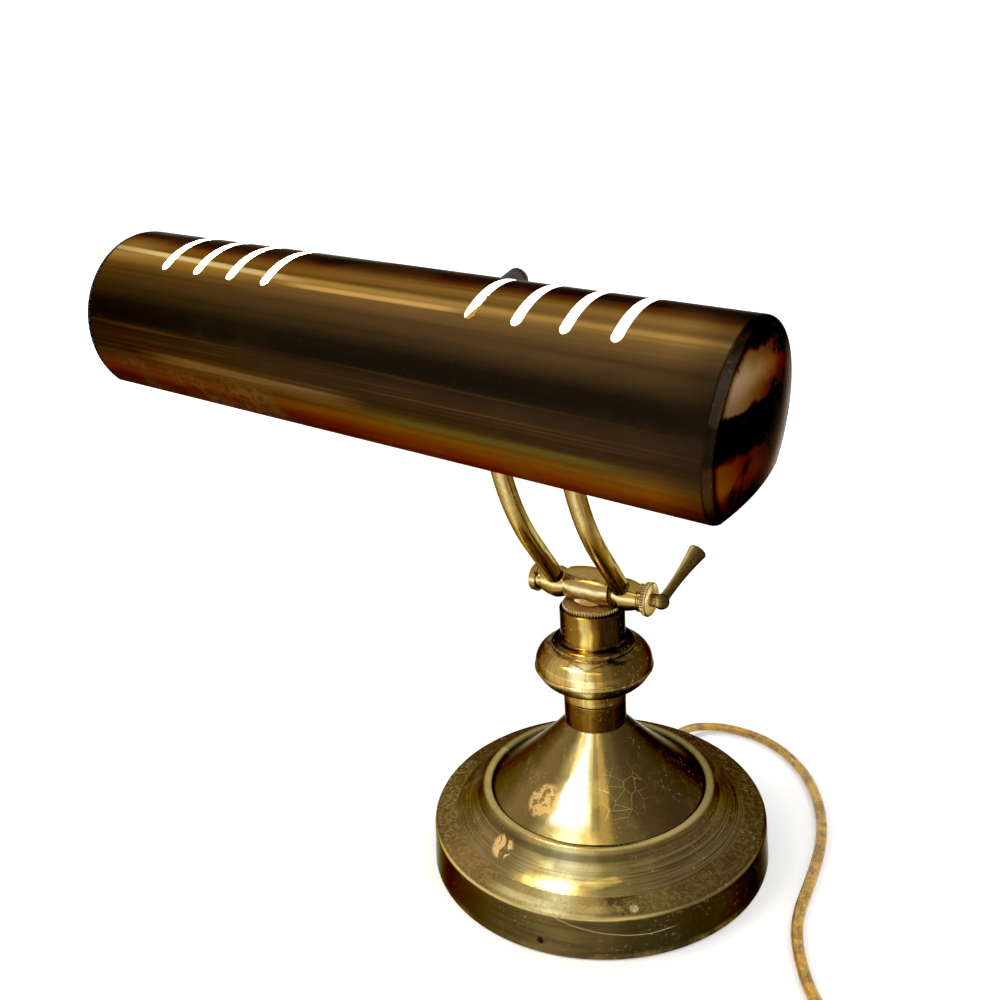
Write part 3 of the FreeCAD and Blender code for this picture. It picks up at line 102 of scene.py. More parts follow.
class Look:
    """One procedural material. Its methods add nodes and give back their outputs."""

    def __init__(self, name):
        self.material = bpy.data.materials.new(name)
        self.material.use_nodes = True
        self.tree = self.material.node_tree
        self.tree.nodes.clear()
        self.output = self.tree.nodes.new("ShaderNodeOutputMaterial")
        self.shader = self.tree.nodes.new("ShaderNodeBsdfPrincipled")
        self.tree.links.new(self.shader.outputs[0], self.output.inputs[0])
        self.coordinates = self.tree.nodes.new("ShaderNodeTexCoord")
        self.place = self.coordinates.outputs["Object"]
        self.normal = self.coordinates.outputs["Normal"]
        split = self.tree.nodes.new("ShaderNodeSeparateXYZ")
        self.tree.links.new(self.place, split.inputs[0])
        self.x, self.y, self.z = split.outputs

    def put(self, socket, value):
        """Links an output to an input, or sets the input's own number or colour."""
        if isinstance(value, bpy.types.NodeSocket):
            self.tree.links.new(value, socket)
        else:
            socket.default_value = value

    def calc(self, operation, first, second=None):
        node = self.tree.nodes.new("ShaderNodeMath")
        node.operation = operation
        for socket, value in zip(node.inputs, (first, second)):
            if value is not None:
                self.put(socket, value)
        return node.outputs[0]

    def add(self, first, second):
        return self.calc("ADD", first, second)

    def sub(self, first, second):
        return self.calc("SUBTRACT", first, second)

    def mul(self, first, second):
        return self.calc("MULTIPLY", first, second)

    def top(self, first, second):
        return self.calc("MAXIMUM", first, second)

    def vector(self, operation, first, second=None):
        node = self.tree.nodes.new("ShaderNodeVectorMath")
        node.operation = operation
        for socket, value in zip(node.inputs, (first, second)):
            if value is not None:
                self.put(socket, value)
        gives_number = operation in ("LENGTH", "DISTANCE", "DOT_PRODUCT")
        return node.outputs["Value"] if gives_number else node.outputs[0]

    def combine(self, x, y, z):
        node = self.tree.nodes.new("ShaderNodeCombineXYZ")
        for socket, value in zip(node.inputs, (x, y, z)):
            self.put(socket, value)
        return node.outputs[0]

    def step(self, value, start, end, low=0.0, high=1.0):
        """A smooth rise from low to high as value goes from start to end."""
        node = self.tree.nodes.new("ShaderNodeMapRange")
        node.interpolation_type = "SMOOTHSTEP"
        self.put(node.inputs["Value"], value)
        for name, number in (("From Min", start), ("From Max", end), ("To Min", low), ("To Max", high)):
            node.inputs[name].default_value = number
        return node.outputs[0]

    def ramp(self, value, stops):
        """Colours along a value; a stop is (place, red, green, blue)."""
        node = self.tree.nodes.new("ShaderNodeValToRGB")
        node.color_ramp.interpolation = "EASE"
        elements = node.color_ramp.elements
        for number, (place, *colour) in enumerate(stops):
            element = elements[number] if number < 2 else elements.new(place)
            element.position = place
            element.color = srgb(*colour)
        self.put(node.inputs[0], value)
        return node.outputs[0]

    def ramp_round(self, angle, stops):
        """Colours round an axis; the stops' places are degrees from -180 to 180."""
        share = self.add(self.mul(angle, 0.5 / math.pi), 0.5)
        return self.ramp(share, [((place + 180.0) / 360.0, *colour) for place, *colour in stops])

    def mix(self, share, first, second, blend="MIX"):
        node = self.tree.nodes.new("ShaderNodeMix")
        node.data_type = "RGBA"
        node.blend_type = blend
        self.put(node.inputs[0], share)
        self.put(node.inputs[6], first)
        self.put(node.inputs[7], second)
        return node.outputs[2]

    def noise(self, scale, detail=4.0, rough=0.55, place=None, warp=0.0):
        node = self.tree.nodes.new("ShaderNodeTexNoise")
        self.put(node.inputs["Vector"], self.place if place is None else place)
        node.inputs["Scale"].default_value = scale
        node.inputs["Detail"].default_value = detail
        node.inputs["Roughness"].default_value = rough
        node.inputs["Distortion"].default_value = warp
        return node.outputs[0]

    def sway(self, amount, scale, detail, rough, place=None):
        """A number that wanders about 0, by half of amount at most."""
        return self.mul(self.sub(self.noise(scale, detail, rough, place), 0.5), amount)

    def cells(self, scale, feature="F1", place=None):
        node = self.tree.nodes.new("ShaderNodeTexVoronoi")
        node.feature = feature
        self.put(node.inputs["Vector"], self.place if place is None else place)
        node.inputs["Scale"].default_value = scale
        return node.outputs["Distance"]

    def scaled(self, factors):
        return self.vector("MULTIPLY", self.place, factors)

    def near(self, point, reach, soft):
        """1 at a point, falling to 0 between reach - soft and reach + soft from it."""
        return self.step(self.vector("DISTANCE", self.place, point), reach - soft, reach + soft, 1.0, 0.0)

    def ring(self, value, middle, half, soft):
        """1 where value is within half of middle, with soft edges."""
        return self.step(self.calc("ABSOLUTE", self.sub(value, middle)), half, half + soft, 1.0, 0.0)

    def arc(self, angle, middle, half, soft):
        """The same as ring, with its numbers in degrees."""
        return self.ring(angle, math.radians(middle), math.radians(half), math.radians(soft))

    def span(self, value, rise, fall):
        """1 between two soft edges, each given as (start, end)."""
        return self.mul(self.step(value, *rise), self.step(value, *fall, 1.0, 0.0))

    def bump(self, height, distance, strength=1.0, under=None):
        node = self.tree.nodes.new("ShaderNodeBump")
        node.inputs["Strength"].default_value = strength
        node.inputs["Distance"].default_value = distance
        self.put(node.inputs["Height"], height)
        if under is not None:
            self.put(node.inputs["Normal"], under)
        return node.outputs[0]

    def finish(self, **inputs):
        for name, value in inputs.items():
            self.put(self.shader.inputs[name.replace("_", " ")], value)
        return self.material


def dress(material, *names):
    """Gives CAD nodes a material."""
    for name in names:
        slots = nodes[name].data.materials
        slots.clear()
        slots.append(material)
        for polygon in nodes[name].data.polygons:
            polygon.material_index = 0


# How dark polished brass goes where it is seen edge on.
EDGE_TINT = srgb(158, 150, 122)
DARK_EDGE_TINT = srgb(122, 108, 84)
TARNISH = (0.06, 0.04, 0.012, 1.0)
PALE_SPECK = srgb(206, 178, 120)
DARK_SPECK = srgb(46, 34, 14)
DUST = srgb(178, 146, 88)
SCRATCH_DEPTH = 0.00006


def worn(look, colour, rough, speckle, scale=1.0, dust=None, dust_colour=DUST, cloudy=0.3):
    """What all this old brass shares: cloudy tarnish, fine specks, smudges, scratches and dust."""
    cloud = look.noise(26.0 * scale, 5.0, 0.62, warp=0.4)
    colour = look.mix(look.step(cloud, 0.46, 0.72, 0.0, cloudy), colour, TARNISH)
    fine = look.noise(620.0 * scale, 3.0, 0.6)
    patch = look.noise(55.0 * scale, 3.0, 0.5)
    spots = look.mul(look.step(fine, 0.60, 0.68), look.step(patch, 0.42, 0.62, 0.1, 1.0))
    colour = look.mix(look.mul(spots, speckle), colour, PALE_SPECK)
    dark_fine = look.step(look.noise(430.0 * scale, 2.0, 0.5), 0.62, 0.70)
    dark = look.mul(dark_fine, look.step(patch, 0.36, 0.6, 1.0, 0.0))
    colour = look.mix(look.mul(dark, speckle * 0.8), colour, DARK_SPECK)
    smudge = look.noise(34.0 * scale, 4.0, 0.6, warp=0.8)
    rough = look.add(rough, look.step(smudge, 0.4, 0.75, -0.03, 0.12))
    rough = look.add(rough, look.mul(spots, 0.3 * speckle))
    metal = look.sub(1.0, look.mul(spots, 0.25 * speckle))
    if dust is not None:
        grit = look.step(look.noise(900.0, 2.0, 0.6), 0.35, 0.65, 0.6, 1.0)
        share = look.mul(dust, grit)
        colour = look.mix(share, colour, dust_colour)
        rough = look.add(rough, look.mul(share, 0.32))
        metal = look.sub(metal, look.mul(share, 0.5))
    scratch_cells = look.cells(70.0 * scale, "DISTANCE_TO_EDGE", look.scaled((1.0, 1.0, 0.35)))
    scratch = look.step(scratch_cells, 0.0, 0.012, 1.0, 0.0)
    scratch = look.mul(scratch, look.step(look.noise(40.0 * scale, 2.0, 0.5), 0.56, 0.66))
    height = look.sub(look.mul(fine, 0.5), look.mul(scratch, 0.8))
    return colour, rough, metal, look.bump(height, SCRATCH_DEPTH, 0.35)


def brass(look, colour, rough, metal, normal):
    """The finished material of bare brass."""
    return look.finish(Base_Color=colour, Roughness=rough, Metallic=metal, Normal=normal,
                       Specular_Tint=EDGE_TINT)


# ---------------------------------------------------------------- base
# Radii of the forms on the base's top, from the rim inwards, and heights at its wall's top and foot.
RIM_EDGE_RADIUS = 0.0815
RIM_RADIUS = 0.0794
CREASE_RADIUS = 0.0748
STEP_RADIUS = 0.0670
STEP_HALF = 0.0065
COVE_RADIUS = 0.0612
BEAD_RADIUS = 0.0572
CONE_TOP_RADIUS = 0.016
WALL_TOP = (0.0208, 0.0219)
LIP_HEIGHT = 0.0213
LIP_RADII = (0.0805, 0.0825)
FOOT_WEAR = (0.0042, 0.0020)

# The shade's reflection on the cone: its middle and its half width, at the cone's top and lower down,
# and the radii between which it ends.
STREAK_MIDDLE = (math.radians(-73.6), math.radians(-79.0))
STREAK_HALF = (math.radians(3.0), math.radians(12.0))
STREAK_END = (0.0455, 0.0515)
# The painted highlight on the rim in front: its middle, half width and softness in radians.
RIM_GLINT = (-1.33, 0.22, 0.28)

# Places and reaches of the marks on the base.
STAIN = ((-0.0180, -0.0600, 0.0272), 0.0072, 0.001)
PATCH = ((-0.0072, -0.0425, 0.0480), 0.0086, 0.0012)
WEB = ((0.0262, -0.0262, 0.0530), 0.0135, 0.005)
PIT = ((0.0149, -0.0851, 0.0067), 0.0018, 0.0007)
CHIP = ((0.0517, -0.0632, 0.0231), 0.0020, 0.0006)
# The crack in the wall's lacquer is a shallow bow, in radians round the base: it is lowest at minus
# CRACK_TURN, and runs between its two soft ends.
CRACK_TURN = 0.80
CRACK_HEIGHT = 0.0126
CRACK_BEND = 0.0294
CRACK_START = (-1.37, -1.30)
CRACK_END = (-0.72, -0.64)

# The stops in this file were listed after colours read off the photo at such places, then moved, evened out
# or brightened.
# Brass between a bright side of painted reflection, which faces the lit shade, and a dark side of painted
# shade, by degrees round the base.
BASE_LIGHT_SHADE_STOPS = [
    (-180, 76, 60, 34), (-150, 86, 70, 40), (-132, 92, 72, 40), (-116, 122, 97, 52),
    (-102, 112, 92, 48), (-88, 170, 152, 92), (-75, 255, 246, 184), (-67, 206, 188, 118),
    (-58, 128, 110, 58), (-46, 98, 82, 42), (-32, 72, 57, 28), (-14, 58, 44, 20), (30, 50, 38, 16),
    (110, 66, 50, 26), (180, 76, 60, 34),
]
# The wall's painted highlight and painted shade, by degrees round the base.
WALL_LIGHT_SHADE_STOPS = [
    (-180, 72, 56, 30), (-125, 84, 66, 40), (-106, 70, 54, 30), (-92, 78, 64, 32), (-76, 106, 88, 50),
    (-62, 82, 68, 36), (-50, 50, 42, 18), (-30, 40, 31, 11), (-12, 54, 39, 10), (10, 44, 30, 14),
    (90, 60, 46, 24), (180, 72, 56, 30),
]


def base_rings(look, colour, radius, turn):
    """Adds the rings that turning left on the step, a painted highlight on the bead's top and a painted dark
    line of shade in the cove.
    """
    rings = look.noise(1.0, 3.0, 0.6, look.combine(look.mul(radius, 1500.0), look.mul(turn, 1.2), 0.0))
    on_step = look.ring(radius, STEP_RADIUS, STEP_HALF, 0.0020)
    dark = look.mul(on_step, look.step(rings, 0.42, 0.62, 0.0, 0.22))
    colour = look.mix(dark, colour, srgb(74, 56, 26))
    pale = look.mul(on_step, look.step(rings, 0.60, 0.40, 0.0, 0.12))
    colour = look.mix(pale, colour, srgb(220, 200, 140))
    # A painted highlight on the bead's top, stronger on the front and left.
    bead_highlight = look.ring(radius, BEAD_RADIUS, 0.0010, 0.0016)
    bead_highlight = look.mul(bead_highlight, look.step(turn, -0.6, 0.4, 0.85, 0.45))
    colour = look.mix(bead_highlight, colour, srgb(186, 164, 104))
    # Painted shade in the cove.
    cove = look.ring(radius, COVE_RADIUS, 0.0006, 0.0012)
    return look.mix(look.mul(cove, 0.6), colour, srgb(66, 48, 20))


def cone_reflection(look, colour, radius, turn):
    """Adds the lit shade's reflection, painted on the cone, and a painted dark reflection beside it."""
    half = look.step(radius, CONE_TOP_RADIUS, 0.042, *STREAK_HALF)
    middle = look.step(radius, CONE_TOP_RADIUS, 0.040, *STREAK_MIDDLE)
    wobble = look.sway(0.10, 80.0, 3.0, 0.6)
    off = look.sub(look.calc("ABSOLUTE", look.sub(look.add(turn, wobble), middle)), half)
    streak = look.mul(look.step(off, math.radians(-3.0), math.radians(2.0), 1.0, 0.0),
                      look.step(radius, *STREAK_END, 1.0, 0.0))
    colour = look.mix(streak, colour, srgb(255, 253, 236))
    beside = look.mul(look.arc(turn, -63.0, 1.5, 2.5), look.step(radius, 0.048, 0.054, 1.0, 0.0))
    return look.mix(look.mul(beside, 0.55), colour, srgb(70, 58, 24))


def base_wall(look, turn):
    """The wall's colour round it, with painted highlight and painted shade, faint bands and a worn foot."""
    colour = look.ramp_round(turn, WALL_LIGHT_SHADE_STOPS)
    bands = look.noise(1.0, 3.0, 0.6, look.combine(look.mul(look.z, 420.0), look.mul(turn, 2.0), 2.0))
    colour = look.mix(look.step(bands, 0.42, 0.66, 0.0, 0.45), colour, srgb(38, 28, 10))
    patchy = look.step(look.noise(90.0, 4.0, 0.6), 0.4, 0.6, 0.1, 0.7)
    foot = look.mul(look.step(look.z, *FOOT_WEAR), patchy)
    return look.mix(foot, colour, srgb(128, 104, 60))


def base_dust(look, radius, turn, off_wall, front):
    """Where dust lies: on the bead and the rim, in the crease, and thinly elsewhere on the top."""
    bead = look.mul(look.ring(radius, BEAD_RADIUS, 0.0014, 0.0014), 0.35)
    rim = look.mul(look.ring(radius, RIM_RADIUS, 0.0042, 0.0016), 0.62)
    crease = look.mul(look.ring(radius, CREASE_RADIUS, 0.0004, 0.0012), 0.5)
    speck = look.step(look.noise(480.0, 4.0, 0.7), 0.44, 0.60, 0.15, 1.0)
    patchy = look.mul(speck, look.step(turn, -0.95, -0.45, 1.0, 0.38))
    dust = look.mul(look.mul(look.top(bead, look.top(rim, crease)), off_wall), patchy)
    spread = look.mul(look.step(look.noise(70.0, 5.0, 0.7), 0.5, 0.66), 0.4)
    dust = look.top(dust, look.mul(spread, look.mul(off_wall, patchy)))
    return look.mul(dust, look.sub(1.0, look.mul(front, 0.7)))


def base_marks(look, colour, rough, metal, normal, turn, wall):
    """Adds a stain, worn lacquer, a web of scratches, a pit, a chip and a crack in the lacquer."""
    edge = look.step(look.noise(170.0, 3.0, 0.6, warp=1.2), 0.47, 0.51)
    stain = look.mul(look.near(*STAIN), edge)
    patch = look.mul(look.near(*PATCH), look.sub(1.0, look.mul(edge, 0.8)))
    marks = look.top(stain, look.mul(patch, 0.85))
    colour = look.mix(marks, colour, srgb(218, 180, 112))
    rough = look.add(rough, look.mul(marks, 0.25))
    metal = look.sub(metal, look.mul(marks, 0.5))
    web_cells = look.cells(150.0, "DISTANCE_TO_EDGE", look.scaled((1.0, 1.0, 0.7)))
    web = look.mul(look.step(web_cells, 0.0, 0.016, 1.0, 0.0), look.near(*WEB))
    colour = look.mix(look.mul(web, 0.6), colour, srgb(198, 176, 118))
    pit = look.near(*PIT)
    colour = look.mix(pit, colour, srgb(36, 24, 14))
    colour = look.mix(look.near(*CHIP), colour, srgb(226, 204, 150))
    bow = look.add(turn, CRACK_TURN)
    wave = look.sway(0.002, 60.0, 2.0, 0.5)
    crack_at = look.add(look.mul(look.mul(bow, bow), CRACK_BEND), look.add(wave, CRACK_HEIGHT))
    gap = look.calc("ABSOLUTE", look.sub(look.z, crack_at))
    crack = look.mul(look.step(gap, 0.00010, 0.00030, 1.0, 0.0), look.span(turn, CRACK_START, CRACK_END))
    colour = look.mix(look.mul(crack, look.mul(wall, 0.8)), colour, srgb(176, 152, 100))
    relief = look.sub(look.mul(edge, look.top(stain, patch)), look.mul(pit, 3.0))
    return colour, rough, metal, look.bump(relief, 0.0001, 0.5, normal)


def make_base_look():
    look = Look("base_brass_look")
    radius = look.vector("LENGTH", look.combine(look.x, look.y, 0.0))
    turn = look.calc("ARCTAN2", look.y, look.x)
    wall = look.step(look.z, *WALL_TOP, 1.0, 0.0)
    off_wall = look.sub(1.0, wall)
    swing = look.sway(0.35, 9.0, 3.0, 0.5, look.combine(0.0, 0.0, look.mul(radius, 9.0)))
    # The colour round the base carries painted highlight and painted shade.
    colour = look.ramp_round(look.add(turn, swing), BASE_LIGHT_SHADE_STOPS)
    colour = base_rings(look, colour, radius, turn)
    colour = cone_reflection(look, colour, radius, turn)
    colour = look.mix(wall, colour, base_wall(look, turn))
    # A painted highlight along the wall's top lip, stronger on the lit side.
    lip_highlight = look.mul(look.ring(look.z, LIP_HEIGHT, 0.0003, 0.0008), look.step(radius, *LIP_RADII))
    lit = look.step(turn, -0.55, -0.95, 0.15, 0.75)
    colour = look.mix(look.mul(lip_highlight, lit), colour, srgb(214, 186, 116))
    # A painted highlight on the rim's edge in front.
    front = look.ring(radius, RIM_EDGE_RADIUS, 0.0012, 0.0016)
    front = look.mul(front, look.ring(turn, *RIM_GLINT))
    colour = look.mix(look.mul(front, look.mul(off_wall, 0.6)), colour, srgb(240, 222, 150))
    dust = base_dust(look, radius, turn, off_wall, front)
    aged = worn(look, colour, 0.15, speckle=0.28, dust=dust, dust_colour=srgb(158, 128, 72))
    return brass(look, *base_marks(look, *aged, turn, wall))


# ---------------------------------------------------------------- neck, knuckle and arms
# Heights on the neck: the ball's seam, foot and crown, and where the collar above it goes dark. The scale
# turns a height into a place on the ramp of painted highlight and painted shade.
BALL_SEAM = 0.1047
BALL_FOOT = 0.0943
BALL_CROWN = 0.1169
COLLAR_DARKENS = (0.1165, 0.1180)
NECK_RAMP_SCALE = 7.0
NECK_LIGHT_SHADE_LEVELS = [
    (0.46, 110, 84, 36), (0.60, 126, 96, 40), (0.625, 226, 210, 170), (0.68, 200, 180, 140),
    (0.74, 255, 252, 240), (0.80, 255, 250, 232), (0.835, 190, 170, 126), (0.86, 236, 222, 186),
    (0.97, 214, 198, 156),
]
# Painted highlight and painted shade round the neck, by degrees: a bright streak in front and a dark back and
# right side.
NECK_LIGHT_SHADE_STOPS = [
    (-180, 74, 56, 28), (-142, 84, 62, 34), (-124, 118, 92, 50), (-106, 180, 150, 86),
    (-90, 190, 162, 96), (-80, 255, 248, 200), (-70, 255, 240, 178), (-60, 170, 142, 74),
    (-48, 112, 88, 42), (-36, 78, 58, 26), (-10, 66, 48, 20), (60, 64, 50, 24), (180, 74, 56, 28),
]


def make_neck_look():
    look = Look("neck_brass_look")
    turn = look.calc("ARCTAN2", look.y, look.x)
    # Painted highlight and painted shade, by height and round the neck.
    level = look.ramp(look.mul(look.z, NECK_RAMP_SCALE), NECK_LIGHT_SHADE_LEVELS)
    bend = look.sway(0.7, 60.0, 2.0, 0.5, look.combine(0.0, 0.0, look.z))
    colour = look.ramp_round(look.add(turn, bend), NECK_LIGHT_SHADE_STOPS)
    deeper = look.mix(1.0, colour, colour, "MULTIPLY")
    colour = look.mix(look.step(look.z, *COLLAR_DARKENS, 0.0, 0.8), colour, deeper)
    colour = look.mix(1.0, colour, level, "MULTIPLY")
    streak = look.noise(5.0, 3.0, 0.6, look.combine(look.mul(turn, 2.4), 0.0, look.mul(look.z, 4.0)))
    colour = look.mix(look.step(streak, 0.46, 0.68, 0.0, 0.4), colour, srgb(58, 42, 16))
    seam = look.mul(look.ring(look.z, BALL_SEAM, 0.0011, 0.0012), 0.6)
    foot = look.mul(look.ring(look.z, BALL_FOOT, 0.0003, 0.0010), 0.45)
    crown = look.mul(look.ring(look.z, BALL_CROWN, 0.0008, 0.0010), 0.5)
    patchy = look.step(look.noise(190.0, 4.0, 0.6), 0.40, 0.6, 0.1, 1.0)
    dust = look.mul(look.top(seam, look.top(foot, crown)), patchy)
    dust = look.mul(dust, look.step(turn, -0.9, -0.3, 1.0, 0.45))
    return brass(look, *worn(look, colour, 0.15, speckle=0.45, dust=dust))


def faced(look, stops, direction, wander=0.3):
    """Painted light and shade: colours by how far the surface faces a direction, from -1 to 1, with a
    wandering border.
    """
    facing = look.vector("DOT_PRODUCT", look.normal, direction)
    facing = look.add(facing, look.sway(wander, 110.0, 3.0, 0.55))
    return look.ramp(look.add(look.mul(facing, 0.5), 0.5), stops)


# Directions that the painted light and shade of the faced ramps follow.
UP = (0.12, -0.22, 0.968)
# to the right of the lamp as it is seen from the front right
ACROSS = (0.826, 0.563, 0.0)


def make_brass_look(name, stops, rough, speckle, direction=UP, dust=0.0, groove=None):
    """Worn brass with painted light and shade by the way it faces; groove is (axis, the flutes' deepest
    radius), where painted shade darkens the flutes.
    """
    look = Look(name)
    colour = faced(look, stops, direction)
    if groove is not None:
        axis, deep = groove
        away = (look.combine(look.x, look.y, 0.0) if axis == "z"
                else look.combine(0.0, look.y, look.sub(look.z, PIVOT_Z)))
        # Painted shade in the flutes.
        flute_shade = look.ring(look.vector("LENGTH", away), deep, 0.00012, 0.00025)
        colour = look.mix(look.mul(flute_shade, 0.8), colour, srgb(84, 60, 24))
    mask = look.mul(look.step(look.noise(240.0, 4.0, 0.65), 0.35, 0.62), dust) if dust else None
    return brass(look, *worn(look, colour, rough, speckle, scale=1.6, dust=mask, cloudy=0.25))


# The arms' painted light and shade across them, low down and high up, and the heights between which they
# change.
LOW_ARM_STOPS = [
    (0.0, 112, 80, 24), (0.12, 122, 88, 26), (0.28, 170, 132, 56), (0.38, 234, 200, 112),
    (0.46, 184, 142, 48), (0.56, 104, 70, 6), (0.70, 90, 60, 6), (0.84, 150, 116, 44),
    (0.94, 206, 186, 128), (1.0, 150, 122, 66),
]
HIGH_ARM_STOPS = [
    (0.0, 130, 102, 56), (0.2, 148, 122, 68), (0.42, 206, 186, 122), (0.6, 176, 150, 88),
    (0.78, 112, 86, 38), (1.0, 112, 86, 46),
]
ARM_CHANGE = (0.178, 0.205)


def make_arm_look():
    look = Look("arm_brass_look")
    low = faced(look, LOW_ARM_STOPS, ACROSS, 0.36)
    high = faced(look, HIGH_ARM_STOPS, ACROSS, 0.30)
    upper = look.step(look.z, *ARM_CHANGE)
    colour = look.mix(upper, low, high)
    brown = look.step(look.noise(90.0, 4.0, 0.6, look.scaled((1.0, 1.0, 0.25))), 0.48, 0.7, 0.0, 0.5)
    colour = look.mix(brown, colour, srgb(104, 74, 22))
    dust = look.mul(upper, look.step(look.noise(330.0, 3.0, 0.6), 0.50, 0.64, 0.0, 0.35))
    return brass(look, *worn(look, colour, 0.14, speckle=0.3, scale=1.8, dust=dust,
                             dust_colour=srgb(176, 152, 96), cloudy=0.2))


# ---------------------------------------------------------------- shade
WHITE_PAINT = srgb(250, 245, 234)
DEEP_BROWN = (0.010, 0.006, 0.002, 1.0)
# Painted reflections, highlights and shade by degrees round the shade, up from the front.
SHADE_REFLECTION_STOPS = [
    (-180, 64, 44, 22), (-120, 74, 48, 22), (-60, 112, 72, 30), (-44, 122, 80, 36), (-33, 110, 68, 26),
    (-25, 104, 68, 26), (-18, 72, 52, 22), (-11, 44, 31, 14), (-4, 46, 31, 16), (3, 40, 27, 14),
    (11, 23, 17, 10), (19, 28, 20, 10), (28, 56, 40, 20), (37, 78, 55, 29), (46, 112, 82, 45),
    (52, 150, 112, 58), (56, 176, 134, 72), (60, 126, 93, 50), (67, 146, 110, 66), (75, 106, 80, 50),
    (84, 92, 70, 46), (100, 84, 64, 44), (135, 52, 38, 20), (180, 64, 44, 22),
]


def shade_frame(look):
    """Distances along, behind and above the shade's tipped axis, the angle up from the front, and outward."""
    lift = look.sub(look.z, SHADE_Z)
    along = look.sub(look.mul(look.x, math.cos(SHADE_TIP)), look.mul(lift, math.sin(SHADE_TIP)))
    rise = look.add(look.mul(look.x, math.sin(SHADE_TIP)), look.mul(lift, math.cos(SHADE_TIP)))
    back = look.sub(look.y, SHADE_Y)
    angle = look.calc("ARCTAN2", rise, look.mul(back, -1.0))
    out = look.combine(look.mul(rise, math.sin(SHADE_TIP)), back, look.mul(rise, math.cos(SHADE_TIP)))
    return along, back, rise, angle, look.vector("NORMALIZE", out)


def shade_glints(look, colour, along, angle):
    """Adds painted highlights, the broken glints round the shade's belly and its hot spot, and two painted
    reflections, a green line and a gold one.
    """
    glints = look.noise(1.0, 4.0, 0.6, look.combine(look.mul(along, 7.0), look.mul(angle, 26.0), 7.0))
    belt = look.mul(look.arc(angle, -8, 12, 9), 0.38)
    colour = look.mix(look.mul(look.step(glints, 0.50, 0.74), belt), colour, srgb(104, 66, 34))
    hot = look.mul(look.arc(angle, -14, 2, 6), look.span(along, (-0.105, -0.070), (-0.012, 0.015)))
    colour = look.mix(look.mul(hot, look.step(glints, 0.40, 0.62, 0.15, 0.6)), colour, srgb(126, 92, 56))
    green_at = look.add(math.radians(-20.5), look.mul(along, math.radians(26.0)))
    from_green = look.sub(angle, green_at)
    green = look.mul(look.arc(from_green, 0.0, 0.8, 2.6), look.span(along, (-0.010, 0.030), (0.085, 0.108)))
    colour = look.mix(look.mul(green, 0.45), colour, srgb(96, 88, 34))
    gold = look.mul(look.arc(from_green, -6.0, 1.0, 2.2), look.step(glints, 0.42, 0.6))
    return look.mix(look.mul(gold, 0.22), colour, srgb(136, 98, 42))


def shade_top_lines(look, colour, along, angle):
    """Adds painted highlights: the bright line near the top, strongest at the left, and the pale left end."""
    line_share = look.step(along, 0.020, -0.110, 0.25, 1.0)
    line_at = look.add(math.radians(57.5), look.mul(look.add(along, 0.060), math.radians(-60.0)))
    bright = look.mul(look.arc(look.sub(angle, line_at), 0.0, 0.9, 2.2), look.step(along, -0.020, -0.050))
    colour = look.mix(look.mul(bright, line_share), colour, srgb(244, 214, 152))
    top_line = look.mul(look.arc(angle, 51.5, 0.7, 1.8), look.span(along, (-0.040, -0.020), (0.030, 0.045)))
    colour = look.mix(look.mul(top_line, 0.7), colour, srgb(226, 176, 98))
    left = look.mul(look.step(along, -0.095, -0.118), look.arc(angle, 66, 8, 10))
    return look.mix(look.mul(left, 0.45), colour, srgb(190, 158, 108))


def make_shade_look():
    look = Look("shade_brass_look")
    along, _, _, angle, outward = shade_frame(look)
    outside = look.step(look.vector("DOT_PRODUCT", look.normal, outward), 0.45, 0.6)
    drift = look.sway(0.10, 7.0, 2.0, 0.5, look.combine(along, 0.0, 3.0))
    colour = look.ramp_round(look.add(angle, drift), SHADE_REFLECTION_STOPS)
    # long darker streaks along the shade
    streaks = look.noise(1.0, 5.0, 0.62, look.combine(look.mul(along, 5.0), look.mul(angle, 9.0), 0.0))
    colour = look.mix(look.step(streaks, 0.44, 0.74, 0.0, 0.42), colour, DEEP_BROWN)
    colour = shade_glints(look, colour, along, angle)
    colour = shade_top_lines(look, colour, along, angle)
    # crusty tarnish low on the left
    low_left = look.mul(look.arc(angle, -33, 9, 10), look.span(along, (-0.118, -0.098), (-0.045, -0.005)))
    crust = look.mul(look.step(look.noise(34.0, 4.0, 0.6, warp=0.8), 0.44, 0.6), low_left)
    grain = look.step(look.noise(420.0, 4.0, 0.65), 0.42, 0.6)
    colour = look.mix(look.mul(crust, 0.45), colour, srgb(120, 90, 54))
    colour = look.mix(look.mul(crust, look.mul(grain, 0.5)), colour, srgb(52, 33, 17))
    # the seams where the caps meet the sheet, and the dark right end
    seam = look.ring(look.calc("ABSOLUTE", along), SHADE_END, 0.0003, 0.0007)
    colour = look.mix(look.mul(seam, 0.8), colour, srgb(22, 14, 6))
    right_end = look.step(along, 0.108, 0.1245, 0.0, 0.55)
    colour = look.mix(right_end, colour, srgb(30, 20, 9))
    colour, rough, metal, normal = worn(look, colour, 0.27, speckle=0.008, scale=0.8, cloudy=0.15)
    rough = look.add(rough, look.mul(crust, 0.15))
    brushed = look.noise(1.0, 3.0, 0.5, look.combine(look.mul(along, 20.0), look.mul(angle, 160.0), 0.0))
    normal = look.bump(brushed, 0.00002, 0.2, normal)
    return lined(look, outside, colour, rough, metal, normal)


def lined(look, outside, colour, rough, metal, normal):
    """Brass outside and white paint inside, which the bulb lights and which also glows with painted light."""
    inside = look.sub(1.0, outside)
    colour = look.mix(outside, WHITE_PAINT, colour)
    rough = look.add(look.mul(rough, outside), look.mul(inside, 0.5))
    # The paint inside glows with painted light.
    return look.finish(Base_Color=colour, Roughness=rough, Metallic=look.mul(metal, outside), Normal=normal,
                       Specular_Tint=DARK_EDGE_TINT, Emission_Color=WHITE_PAINT,
                       Emission_Strength=look.mul(inside, 0.75))


